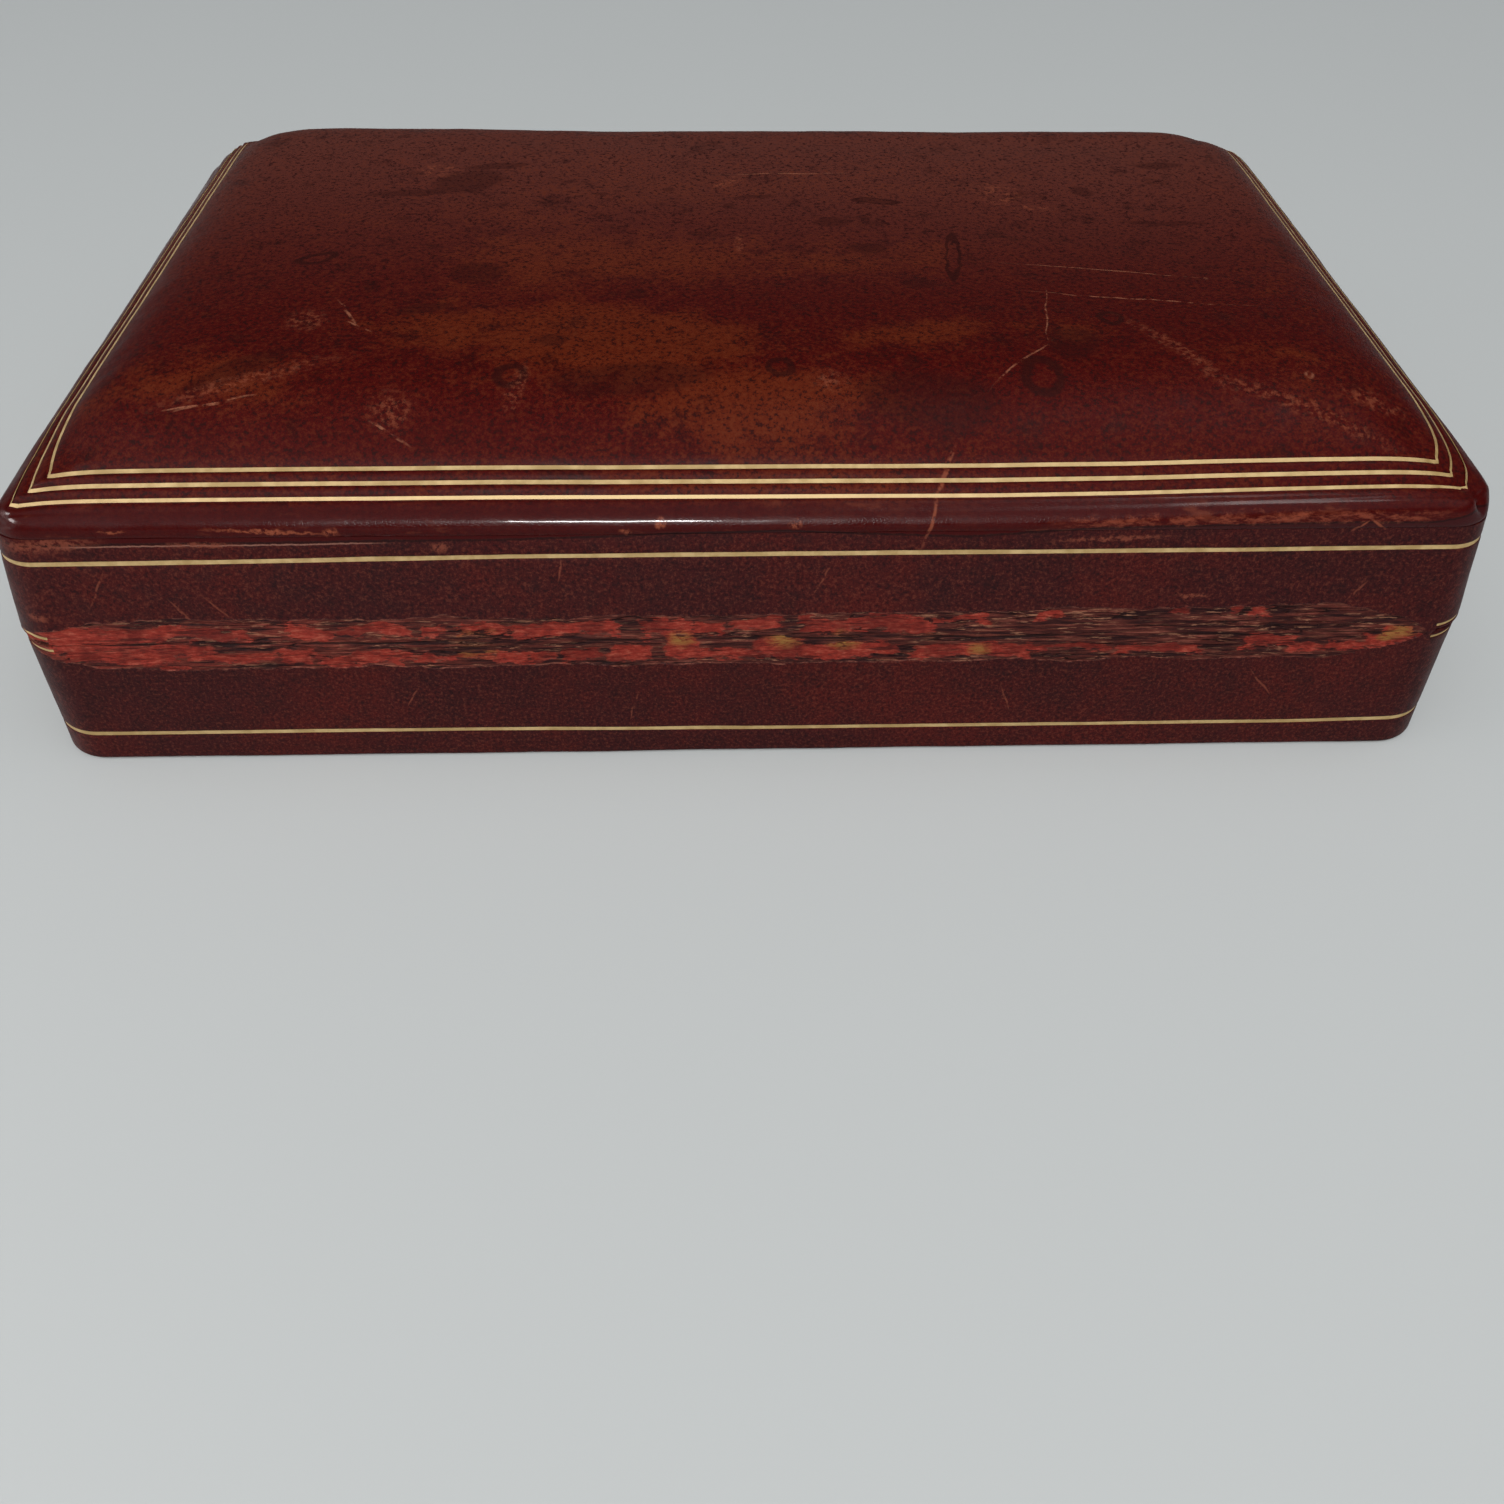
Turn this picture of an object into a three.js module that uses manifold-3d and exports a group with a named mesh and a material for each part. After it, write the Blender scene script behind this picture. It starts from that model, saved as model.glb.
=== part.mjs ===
// A leather-covered dresser box for papers and keepsakes. Its padded lid turns on a leather
// joint along the whole back. All lengths are millimetres. The origin is the centre of the
// underside: X runs along the box, Y from the hinged back to the front, Z up.

import * as THREE from "three";
import { mergeVertices } from "three/addons/utils/BufferGeometryUtils.js";
import Module from "manifold-3d";

const wasm = await Module();
wasm.setup();

// Outside
const lidWidth = 254;
const boxDepth = 165;
const cornerRadius = 9;
const lidSideOverhang = 0.4; // the lid is a little longer than the base at each end
const baseRimHeight = 25.8; // leather rim of the base above the table
const seamGap = 0.6; // between the two rims
const lidWallHeight = 20.3;
const lidWallLean = 2; // how far the lid's walls draw in towards the top

// Fits
const glueLine = 0.1;
const mitreGap = 0.1;
const dropInClearance = 0.3; // around a lining board that is dropped in
const lipClearance = 0.5; // between the base's raised lining and the lid's walls
const cutOverrun = 2; // how far a cutting solid runs past what it cuts

// Leather
const leatherThickness = 1.2;
const skivedThickness = 0.8; // leather pared thin where it is turned in
const rimEdgeRound = 0.5;
const underTurnIn = 12; // how far the base leather is turned under
const bottomCoverThickness = 0.8; // let in between the turned-in leather
const bottomCoverProud = 0.1; // how far it stands below that leather

// Wooden carcass
const wallThickness = 6;
const floorBoardThickness = 3;
const topBoardThickness = 2.4;
const topBoardEdgeThickness = 0.6; // pared down so that the leather can draw round it
const topBoardBevelWidth = 5.5;
const topBoardCornerRadius = 14; // its corners are cut back, so that the leather sinks there

// Linings: cloth over card
const liningThickness = 1.8;
const floorPadThickness = 2.4;
const lidPanelThickness = 2.4;
const lipRise = 3; // the base's lining stands this far above its rim
const lipHeadroom = 0.8; // between that lip and the lid's lining

// Joint along the back: leather outside, cloth inside
const jointLap = 6.4; // how far the joint leather lies on each wall
const jointSlit = 0.4; // between the leather's two halves, where it folds
const jointEndInset = 0.5; // short of where the corners start to turn
const clothThickness = 0.5;
const clothTail = 6; // how far the cloth runs behind the lining

// Lid panel: a board with a padded top, its leather drawn round a rounded nose
const panelSeam = 0.2; // shadow gap between the wall leather and the panel
const noseSetback = 1.85; // how far the nose starts behind the outside of the lid
const noseWidth = 2.05;
const noseHeight = 3.95;
const panelCornerRadius = 12; // of the panel's outline at the lid's outside
const panelTurnIn = 9; // width of the leather turned under the panel
const cushionRise = 7.8;
const cushionShoulder = 40;
const shoulderPower = 5; // how boxy the shoulder is
const padInset = 8.9; // how far the wadding stays behind the outside of the lid

// Gilt fillets, each a strip of foil in a shallow tooled groove
const giltWidth = 0.9;
const grooveDepth = 0.3;
const foilThickness = 0.15;
const foilClearance = 0.05;
const firstLineInset = 5.7;
const linePitch = 2.15;
const topLineCount = 3;
const firstLineHeight = 5.1; // above the panel's underside
const marginRise = 3.5; // from the outer line to the inner one
const marginPower = 0.75;
const lidLineRise = 16.4; // above the lid's rim
const baseLineHeight = 5.7; // above the table
const rimLineOffset = 0.95; // from a rim to the middle of the line beside it
const rimLineWidth = 0.7;

// Places worked out from the sizes
const lidHalf = { x: lidWidth / 2, y: boxDepth / 2 };
const baseHalf = { x: lidHalf.x - lidSideOverhang, y: lidHalf.y };
const baseRimZ = baseRimHeight;
const lidRimZ = baseRimZ + seamGap;
const pivotZ = (baseRimZ + lidRimZ) / 2;
const lidLineZ = lidRimZ + lidLineRise;
const lidWallTopZ = lidRimZ + lidWallHeight;
const panelZ = lidWallTopZ + panelSeam;
const baseLeatherZ = bottomCoverProud;
const carcassZ = Math.max(baseLeatherZ + skivedThickness, bottomCoverThickness) + glueLine;
const floorTopZ = carcassZ + floorBoardThickness;
const liningFootZ = floorTopZ + glueLine;
const baseWoodTopZ = baseRimZ - skivedThickness - glueLine;
const lidWoodFootZ = lidRimZ + skivedThickness + glueLine;
const lidWoodTopZ = panelZ - glueLine;
const lipZ = baseRimZ + lipRise;
const woodInset = leatherThickness + glueLine;
const innerInset = woodInset + wallThickness;
const baseInner = { x: baseHalf.x - innerInset, y: baseHalf.y - innerInset };
const lidInner = {
  x: baseInner.x - glueLine + lipClearance,
  y: baseInner.y - glueLine + lipClearance,
};
const jointHalf = baseHalf.x - cornerRadius - jointEndInset;
const lineInsets = Array.from({ length: topLineCount }, (_, i) => firstLineInset + i * linePitch);
const lastLineInset = lineInsets[topLineCount - 1];
const cushionInset = lastLineInset + giltWidth / 2;

// Materials
const material = (color, roughness, metalness = 0) =>
  new THREE.MeshStandardMaterial({ color, roughness, metalness });
const finish = {
  topLeather: material(0x5e1a12, 0.38),
  wallLeather: material(0x40161a, 0.45),
  jointLeather: material(0x8a2f22, 0.8),
  gilt: material(0xc9a45c, 0.35, 0.9),
  wood: material(0xc49a6c, 0.75),
  lining: material(0xc8a878, 0.6),
  cloth: material(0x5a1d1e, 0.85),
  wadding: material(0xe4dccb, 0.95),
  underside: material(0x3c1f1a, 0.9),
};

// Loops and skins

// Shares of the corner radius at which a loop has points, so that its arc turns in equal steps.
const cornerSteps = 4;
const cornerShares = Array.from(
  { length: cornerSteps + 1 },
  (_, i) => 1 - Math.tan((Math.PI / 4) * (1 - i / cornerSteps)),
);
const plainSides = [];
const cushionSides = { x: [0.05, 0.12, 0.21, 0.36, 0.6], y: [0.08, 0.18, 0.34, 0.58] };

// Coordinates along one side, from its low corner to its high one.
function stations(half, middleShares) {
  const high = cornerShares.map((share) => half - share * cornerRadius);
  const middle = middleShares.map((share) => (half - cornerRadius) * (1 - share));
  const low = [...high, ...middle].map((value) => -value);
  return [...low, ...middle.reverse(), ...high.reverse()];
}

// Moves a point of a rectangle's edge onto its rounded corner.
function rounded(x, y, half, radius) {
  const centre = { x: half.x - radius, y: half.y - radius };
  const past = { x: Math.abs(x) - centre.x, y: Math.abs(y) - centre.y };
  if (radius <= 0 || past.x <= 0 || past.y <= 0) return [x, y];
  const pull = radius / Math.hypot(past.x, past.y);
  return [Math.sign(x) * (centre.x + past.x * pull), Math.sign(y) * (centre.y + past.y * pull)];
}

// A loop of points round a rounded rectangle, anticlockwise from above.
function loop(half, inset, z, radius, sides = { x: plainSides, y: plainSides }) {
  const size = { x: half.x - inset, y: half.y - inset };
  const xs = stations(size.x, [...sides.x]);
  const ys = stations(size.y, [...sides.y]);
  const edge = [
    ...ys.slice(0, -1).map((y) => [size.x, y]),
    ...xs.slice(1).reverse().map((x) => [x, size.y]),
    ...ys.slice(1).reverse().map((y) => [-size.x, y]),
    ...xs.slice(0, -1).map((x) => [x, -size.y]),
  ];
  return edge.map(([x, y]) => [...rounded(x, y, size, radius), z]);
}

const squareLoop = (half, z) => loop(half, 0, z, 0);

const rectangle = (x, y, z) => [
  [x, -y, z],
  [x, y, z],
  [-x, y, z],
  [-x, -y, z],
];

// Corner radius of an outline drawn in by an inset.
const concentric = (inset) => Math.max(cornerRadius - inset, 0);

// Corner radius on the lid panel, which comes to the sharp mitres of the gilt lines.
const panelCorner = (inset) =>
  panelCornerRadius * Math.max(1 - inset / (firstLineInset - giltWidth / 2), 0);

const quad = (a, b, c, d) => [a, b, c, a, c, d];

// The faces between two loops. They face out where the second loop is above the first.
const band = (first, second) =>
  first.flatMap((point, i) => {
    const next = (i + 1) % first.length;
    return quad(point, first[next], second[next], second[i]);
  });

const bands = (loops) => loops.slice(1).flatMap((one, i) => band(loops[i], one));

// A flat lid over a loop, facing up or down.
function cap(points, facingUp) {
  const centre = [0, 0, points[0][2]];
  return points.flatMap((point, i) => {
    const next = points[(i + 1) % points.length];
    return facingUp ? [centre, point, next] : [centre, next, point];
  });
}

function geometryOf(corners) {
  const geometry = new THREE.BufferGeometry();
  geometry.setAttribute("position", new THREE.Float32BufferAttribute(corners.flat(), 3));
  return geometry;
}

// A closed ring through loops, in order up the outside, in over the top and down the inside.
const ringOf = (loops) => geometryOf(bands([...loops, loops[0]]));

// A closed plate through loops from its underside up.
const plateOf = (loops) =>
  geometryOf([...cap(loops[0], false), ...bands(loops), ...cap(loops[loops.length - 1], true)]);

// Solids for cutting and joining

function solidOf(geometry) {
  const plain = geometry.clone();
  plain.deleteAttribute("normal");
  plain.deleteAttribute("uv");
  const merged = mergeVertices(plain);
  return new wasm.Manifold(
    new wasm.Mesh({
      numProp: 3,
      vertProperties: merged.attributes.position.array,
      triVerts: new Uint32Array(merged.index.array),
    }),
  );
}

function geometryFrom(solid) {
  const mesh = solid.getMesh();
  const geometry = new THREE.BufferGeometry();
  geometry.setAttribute("position", new THREE.BufferAttribute(mesh.vertProperties, 3));
  geometry.setIndex(new THREE.BufferAttribute(mesh.triVerts, 1));
  return geometry.toNonIndexed();
}

// A block between two corners.
function blockOf(low, high) {
  const size = high.map((value, i) => value - low[i]);
  const block = new THREE.BoxGeometry(...size);
  return block.translate(...low.map((value, i) => value + size[i] / 2));
}

// An outline of [across, up] points, drawn out along X to both sides of the middle.
function alongX(outline, halfLength) {
  const shape = new THREE.Shape(outline.map(([across, up]) => new THREE.Vector2(across, up)));
  const drawn = new THREE.ExtrudeGeometry(shape, { depth: 2 * halfLength, bevelEnabled: false });
  drawn.translate(0, 0, -halfLength);
  return drawn.applyMatrix4(
    new THREE.Matrix4().makeBasis(
      new THREE.Vector3(0, 1, 0),
      new THREE.Vector3(0, 0, 1),
      new THREE.Vector3(1, 0, 0),
    ),
  );
}

// Carcass walls

// What one mitred board keeps of a frame: a wedge that opens outwards from the 45 degree joints.
function mitreWedge(half, side, lowZ, highZ) {
  const depth = wallThickness + cutOverrun;
  const slack = mitreGap * Math.SQRT1_2;
  const along = side.axis === "x" ? half.y : half.x;
  const face = side.axis === "x" ? half.x : half.y;
  const outline = [
    [-along - cutOverrun + slack, face + cutOverrun],
    [-along + depth + slack, face - depth],
    [along - depth - slack, face - depth],
    [along + cutOverrun - slack, face + cutOverrun],
  ];
  const shape = new THREE.Shape(outline.map(([across, out]) => new THREE.Vector2(across, out)));
  const wedge = new THREE.ExtrudeGeometry(shape, { depth: highZ - lowZ, bevelEnabled: false });
  return wedge.translate(0, 0, lowZ).rotateZ(side.turn);
}

const boxSides = [
  { name: "back", axis: "y", turn: Math.PI },
  { name: "right", axis: "x", turn: -Math.PI / 2 },
  { name: "front", axis: "y", turn: 0 },
  { name: "left", axis: "x", turn: Math.PI / 2 },
];

// Four mitred boards round an opening, with rounded outer corners and faces that may lean in.
function carcassWalls(prefix, half, inner, footZ, topZ, lean) {
  const frame = solidOf(
    ringOf([
      loop(half, woodInset + lean(footZ), footZ, concentric(woodInset)),
      loop(half, woodInset + lean(topZ), topZ, concentric(woodInset)),
      squareLoop(inner, topZ),
      squareLoop(inner, footZ),
    ]),
  );
  const wood = { x: half.x - woodInset, y: half.y - woodInset };
  return boxSides.map((side) => {
    const wedge = solidOf(mitreWedge(wood, side, footZ - cutOverrun, topZ + cutOverrun));
    return part(`${prefix}_${side.name}_wall`, geometryFrom(frame.intersect(wedge)), finish.wood);
  });
}

// Lining boards: the front and back ones run the full length, the ends fit between them.
function liningWalls(prefix, inner, backSetback, footZ, topZ) {
  const low = { x: -inner.x + glueLine, y: -inner.y + backSetback };
  const high = { x: inner.x - glueLine, y: inner.y - glueLine };
  const endLow = low.y + liningThickness + glueLine;
  const endHigh = high.y - liningThickness - glueLine;
  const boards = {
    back: [low.x, low.y, high.x, low.y + liningThickness],
    front: [low.x, high.y - liningThickness, high.x, high.y],
    left: [low.x, endLow, low.x + liningThickness, endHigh],
    right: [high.x - liningThickness, endLow, high.x, endHigh],
  };
  return Object.entries(boards).map(([side, [x0, y0, x1, y1]]) =>
    part(`${prefix}_lining_${side}`, blockOf([x0, y0, footZ], [x1, y1, topZ]), finish.lining),
  );
}

// Gilt lines

// How far the outside of each half is drawn in at a height.
const upright = () => 0;
const lidLean = (z) => (lidWallLean * Math.max(z - lidRimZ, 0)) / lidWallHeight;

// The two edges of a tooled line round a wall.
const lineEdges = (z, width) => [z - width / 2, z + width / 2];

// Loops that take a wall's outside down into a groove and up out of it.
function wallGroove(half, lean, z, width) {
  const [low, high] = lineEdges(z, width);
  return [
    [low, 0],
    [low, grooveDepth],
    [high, grooveDepth],
    [high, 0],
  ].map(([level, depth]) => {
    const inset = lean(level) + depth;
    return loop(half, inset, level, concentric(inset));
  });
}

// The foil that lies in that groove.
function wallFoil(half, lean, z, width) {
  const [low, high] = lineEdges(z, width - 2 * foilClearance);
  const deep = grooveDepth - foilClearance;
  const shallow = deep - foilThickness;
  const at = (level, depth) => {
    const inset = lean(level) + depth;
    return loop(half, inset, level, concentric(inset));
  };
  return ringOf([at(low, shallow), at(high, shallow), at(high, deep), at(low, deep)]);
}

// Wall leather

// Rounds a rim's outer edge, from the wall to the rim where z rises, or back where it falls.
function rimEdge(half, rimZ, upSign) {
  const edge = [
    [0, rimZ - upSign * rimEdgeRound],
    [rimEdgeRound, rimZ],
  ];
  const ordered = upSign > 0 ? edge : edge.reverse();
  return ordered.map(([inset, z]) => loop(half, inset, z, concentric(inset)));
}

// What the joint along the back takes out of the leather on one wall.
function jointNotch(lowZ, highZ, clearance) {
  return solidOf(
    blockOf(
      [-jointHalf + clearance, -lidHalf.y - cutOverrun, lowZ],
      [jointHalf - clearance, -baseInner.y + cutOverrun, highZ],
    ),
  );
}

const baseNotch = jointNotch(baseRimZ - jointLap, pivotZ, 0);
const lidNotch = jointNotch(pivotZ, lidRimZ + jointLap, 0);

function baseWallLeather() {
  const at = (inset, z) => loop(baseHalf, inset, z, concentric(inset));
  const rimLineZ = baseRimZ - rimLineOffset;
  const wrapped = ringOf([
    ...rimEdge(baseHalf, baseLeatherZ, -1),
    ...wallGroove(baseHalf, upright, baseLineHeight, giltWidth),
    ...wallGroove(baseHalf, upright, rimLineZ, rimLineWidth),
    ...rimEdge(baseHalf, baseRimZ, 1),
    squareLoop(baseInner, baseRimZ),
    squareLoop(baseInner, baseRimZ - skivedThickness),
    at(leatherThickness, baseRimZ - skivedThickness),
    at(leatherThickness, baseLeatherZ + skivedThickness),
    at(underTurnIn, baseLeatherZ + skivedThickness),
    at(underTurnIn, baseLeatherZ),
  ]);
  return geometryFrom(solidOf(wrapped).subtract(baseNotch));
}

function lidWallLeather() {
  const at = (inset, z) => loop(lidHalf, inset, z, concentric(inset));
  const rimLineZ = lidRimZ + rimLineOffset;
  const wrapped = ringOf([
    ...rimEdge(lidHalf, lidRimZ, -1),
    ...wallGroove(lidHalf, lidLean, rimLineZ, rimLineWidth),
    ...wallGroove(lidHalf, lidLean, lidLineZ, giltWidth),
    at(lidWallLean, lidWallTopZ),
    at(lidWallLean + leatherThickness, lidWallTopZ),
    at(leatherThickness, lidRimZ + skivedThickness),
    squareLoop(lidInner, lidRimZ + skivedThickness),
    squareLoop(lidInner, lidRimZ),
  ]);
  return geometryFrom(solidOf(wrapped).subtract(lidNotch));
}

// One half of the joint leather: the stretch of a wall's skin that the notch leaves free.
function jointLeather(half, lean, lowZ, highZ) {
  const at = (inset, z) => loop(half, inset + lean(z), z, concentric(inset));
  const skin = ringOf([
    at(0, lowZ),
    at(0, highZ),
    at(leatherThickness, highZ),
    at(leatherThickness, lowZ),
  ]);
  const stretch = jointNotch(lowZ - cutOverrun, highZ + cutOverrun, foilClearance);
  return geometryFrom(solidOf(skin).intersect(stretch));
}

// Cloth inside the joint: over a wall's rim and down behind the lining.
function jointCloth(wallInner, rimZ, upSign) {
  const outer = -baseHalf.y + leatherThickness + glueLine;
  const far = -wallInner.y + glueLine;
  const outline = [
    [outer, rimZ],
    [far, rimZ],
    [far, rimZ - upSign * clothTail],
    [far + clothThickness, rimZ - upSign * clothTail],
    [far + clothThickness, rimZ + upSign * clothThickness],
    [outer, rimZ + upSign * clothThickness],
  ];
  return alongX(outline, jointHalf - dropInClearance);
}

// Lid panel

// Height of the panel's outside above its underside, across the tooled margin.
function marginHeight(inset) {
  const noseEnd = noseSetback + noseWidth;
  if (inset <= firstLineInset) {
    const share = (inset - noseEnd) / (firstLineInset - noseEnd);
    return noseHeight + share * (firstLineHeight - noseHeight);
  }
  const share = (inset - firstLineInset) / (lastLineInset - firstLineInset);
  return firstLineHeight + marginRise * share ** marginPower;
}

const shoulder = (distance) =>
  1 - (1 - Math.min(Math.max(distance, 0) / cushionShoulder, 1)) ** shoulderPower;

// Height of the cushion's outside, which rises from just inside the inner line.
function cushionZ(x, y) {
  const across = lidHalf.x - cushionInset - Math.abs(x);
  const deep = lidHalf.y - cushionInset - Math.abs(y);
  return panelZ + marginHeight(cushionInset) + cushionRise * shoulder(across) * shoulder(deep);
}

// The cushion as a surface, lowered by some thickness, facing up or down.
function cushionSkin(drop, facingUp) {
  const xs = stations(lidHalf.x - cushionInset, [...cushionSides.x]);
  const ys = stations(lidHalf.y - cushionInset, [...cushionSides.y]);
  const at = (i, j) => [xs[i], ys[j], cushionZ(xs[i], ys[j]) - drop];
  const faces = [];
  for (let i = 0; i < xs.length - 1; i++) {
    for (let j = 0; j < ys.length - 1; j++) {
      const [a, b, c, d] = [at(i, j), at(i + 1, j), at(i + 1, j + 1), at(i, j + 1)];
      faces.push(...(facingUp ? quad(a, b, c, d) : quad(a, d, c, b)));
    }
  }
  return faces;
}

const panelLoop = (inset, height) =>
  loop(lidHalf, inset, panelZ + height, panelCorner(inset), cushionSides);

// The nose's outside as shares of its width and height, from the seam below it up and inwards.
const noseShares = [
  [0.08, 0],
  [0.01, 0.2],
  [0, 0.42],
  [0.1, 0.68],
  [0.4, 0.89],
  [1, 1],
];
// Its inside, where the leather lies on the board's edge.
const noseInsideShares = [
  [0.6, 0.17],
  [0.59, 0.3],
  [0.72, 0.5],
  [1.25, 0.66],
];
const noseLoop = ([across, up]) =>
  panelLoop(noseSetback + across * noseWidth, up * noseHeight);

function lidTopLeather() {
  const grooves = lineInsets.flatMap((inset) =>
    [
      [inset - giltWidth / 2, 0],
      [inset - giltWidth / 2, grooveDepth],
      [inset + giltWidth / 2, grooveDepth],
      [inset + giltWidth / 2, 0],
    ].map(([at, depth]) => panelLoop(at, marginHeight(at) - depth)),
  );
  const turnInEnd = noseSetback + panelTurnIn;
  const outside = [
    panelLoop(turnInEnd, skivedThickness),
    panelLoop(turnInEnd, 0),
    ...noseShares.map(noseLoop),
    ...grooves,
  ];
  const underInset = firstLineInset - giltWidth / 2;
  const inside = [
    panelLoop(cushionInset, marginHeight(cushionInset) - leatherThickness),
    panelLoop(underInset, marginHeight(underInset) - leatherThickness),
    ...noseInsideShares.map(noseLoop).reverse(),
    panelLoop(noseSetback + leatherThickness, skivedThickness),
    panelLoop(turnInEnd, skivedThickness),
  ];
  return geometryOf([
    ...bands(outside),
    ...cushionSkin(0, true),
    ...cushionSkin(leatherThickness, false),
    ...bands(inside),
  ]);
}

// The foil of one line on the lid's margin, with sharp mitred corners.
function marginFoil(inset) {
  const [outer, inner] = lineEdges(inset, giltWidth - 2 * foilClearance);
  const at = (edge, rise) => {
    const z = panelZ + marginHeight(edge) - grooveDepth + foilClearance + rise;
    return rectangle(lidHalf.x - edge, lidHalf.y - edge, z);
  };
  return ringOf([at(outer, 0), at(outer, foilThickness), at(inner, foilThickness), at(inner, 0)]);
}

const boardFootHeight = skivedThickness + glueLine;
const boardEdgeInset = noseSetback + leatherThickness + dropInClearance;
const boardTopHeight = boardFootHeight + topBoardThickness;

// Stations where the board's own, larger corners begin.
const boardCornerShare = (half) =>
  (topBoardCornerRadius - cornerRadius) / (half - boardEdgeInset - cornerRadius);
const boardSides = { x: [boardCornerShare(lidHalf.x)], y: [boardCornerShare(lidHalf.y)] };
const boardLoop = (bevel, height) =>
  loop(lidHalf, boardEdgeInset + bevel, panelZ + height, topBoardCornerRadius - bevel, boardSides);

// The board under the padding, bevelled all round.
const lidTopBoard = () =>
  plateOf([
    boardLoop(0, boardFootHeight),
    boardLoop(0, boardFootHeight + topBoardEdgeThickness),
    boardLoop(topBoardBevelWidth, boardTopHeight),
  ]);

// The wadding between the board and the leather.
function lidPad() {
  const drop = leatherThickness + glueLine;
  const footHeight = boardTopHeight + glueLine;
  const edgeHeight = marginHeight(cushionInset) - drop;
  const foot = panelLoop(padInset, footHeight);
  return geometryOf([
    ...cap(foot, false),
    ...bands([foot, panelLoop(cushionInset, edgeHeight)]),
    ...cushionSkin(drop, true),
  ]);
}

// Assembly

function part(name, geometry, materialOf) {
  const mesh = new THREE.Mesh(geometry, materialOf);
  mesh.name = name;
  return mesh;
}

function basePieces() {
  const coverInset = underTurnIn + dropInClearance;
  const clothSetback = clothThickness + 2 * glueLine;
  const padLow = -baseInner.y + clothSetback + liningThickness + dropInClearance;
  const padHigh = baseInner.y - glueLine - liningThickness - dropInClearance;
  const padEnd = baseInner.x - glueLine - liningThickness - dropInClearance;
  const board = { x: baseInner.x - glueLine, y: baseInner.y - glueLine };
  const rimFoil = wallFoil(baseHalf, upright, baseRimZ - rimLineOffset, rimLineWidth);
  return [
    part(
      "base_bottom_cover",
      plateOf([0, bottomCoverThickness].map((z) => loop(baseHalf, coverInset, z, 0))),
      finish.underside,
    ),
    part("base_wall_leather", baseWallLeather(), finish.wallLeather),
    ...carcassWalls("base", baseHalf, baseInner, carcassZ, baseWoodTopZ, upright),
    part(
      "base_floor_board",
      blockOf([-board.x, -board.y, carcassZ], [board.x, board.y, floorTopZ]),
      finish.wood,
    ),
    ...liningWalls("base", baseInner, clothSetback, liningFootZ, lipZ),
    part(
      "base_floor_pad",
      blockOf([-padEnd, padLow, liningFootZ], [padEnd, padHigh, liningFootZ + floorPadThickness]),
      finish.lining,
    ),
    part(
      "joint_leather_base_half",
      jointLeather(baseHalf, upright, baseRimZ - jointLap + foilClearance, pivotZ - jointSlit / 2),
      finish.jointLeather,
    ),
    part("joint_cloth_base_half", jointCloth(baseInner, baseWoodTopZ + glueLine, 1), finish.cloth),
    part(
      "base_gilt_line",
      wallFoil(baseHalf, upright, baseLineHeight, giltWidth),
      finish.gilt,
    ),
    part("base_rim_gilt_line", geometryFrom(solidOf(rimFoil).subtract(baseNotch)), finish.gilt),
  ];
}

function lidPieces() {
  const panelTop = panelZ - glueLine;
  const panelFoot = panelTop - lidPanelThickness;
  const clothSetback = clothThickness + 2 * glueLine;
  const panelHalf = { x: lidInner.x - dropInClearance, y: lidInner.y - dropInClearance };
  const rimFoil = wallFoil(lidHalf, lidLean, lidRimZ + rimLineOffset, rimLineWidth);
  return [
    part("lid_wall_leather", lidWallLeather(), finish.wallLeather),
    ...carcassWalls("lid", lidHalf, lidInner, lidWoodFootZ, lidWoodTopZ, lidLean),
    part("lid_top_board", lidTopBoard(), finish.wood),
    part("lid_pad", lidPad(), finish.wadding),
    part("lid_top_leather", lidTopLeather(), finish.topLeather),
    part(
      "lid_lining_panel",
      blockOf([-panelHalf.x, -panelHalf.y, panelFoot], [panelHalf.x, panelHalf.y, panelTop]),
      finish.lining,
    ),
    ...liningWalls("lid", lidInner, clothSetback, lipZ + lipHeadroom, panelFoot - glueLine),
    part(
      "joint_leather_lid_half",
      jointLeather(
        lidHalf,
        lidLean,
        pivotZ + jointSlit / 2,
        lidRimZ + jointLap - foilClearance,
      ),
      finish.jointLeather,
    ),
    part("joint_cloth_lid_half", jointCloth(lidInner, lidWoodFootZ - glueLine, -1), finish.cloth),
    ...lineInsets.map((inset, i) =>
      part(`lid_top_gilt_line_${i + 1}`, marginFoil(inset), finish.gilt),
    ),
    part("lid_gilt_line", wallFoil(lidHalf, lidLean, lidLineZ, giltWidth), finish.gilt),
    part("lid_rim_gilt_line", geometryFrom(solidOf(rimFoil).subtract(lidNotch)), finish.gilt),
  ];
}

const dresserBox = new THREE.Group();
const base = new THREE.Group();
const lid = new THREE.Group();
base.add(...basePieces());
lid.add(...lidPieces());
dresserBox.add(base, lid);

export default dresserBox;
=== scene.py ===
import math

import bmesh
import bpy
import numpy as np
from mathutils import Matrix, Vector, noise


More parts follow.
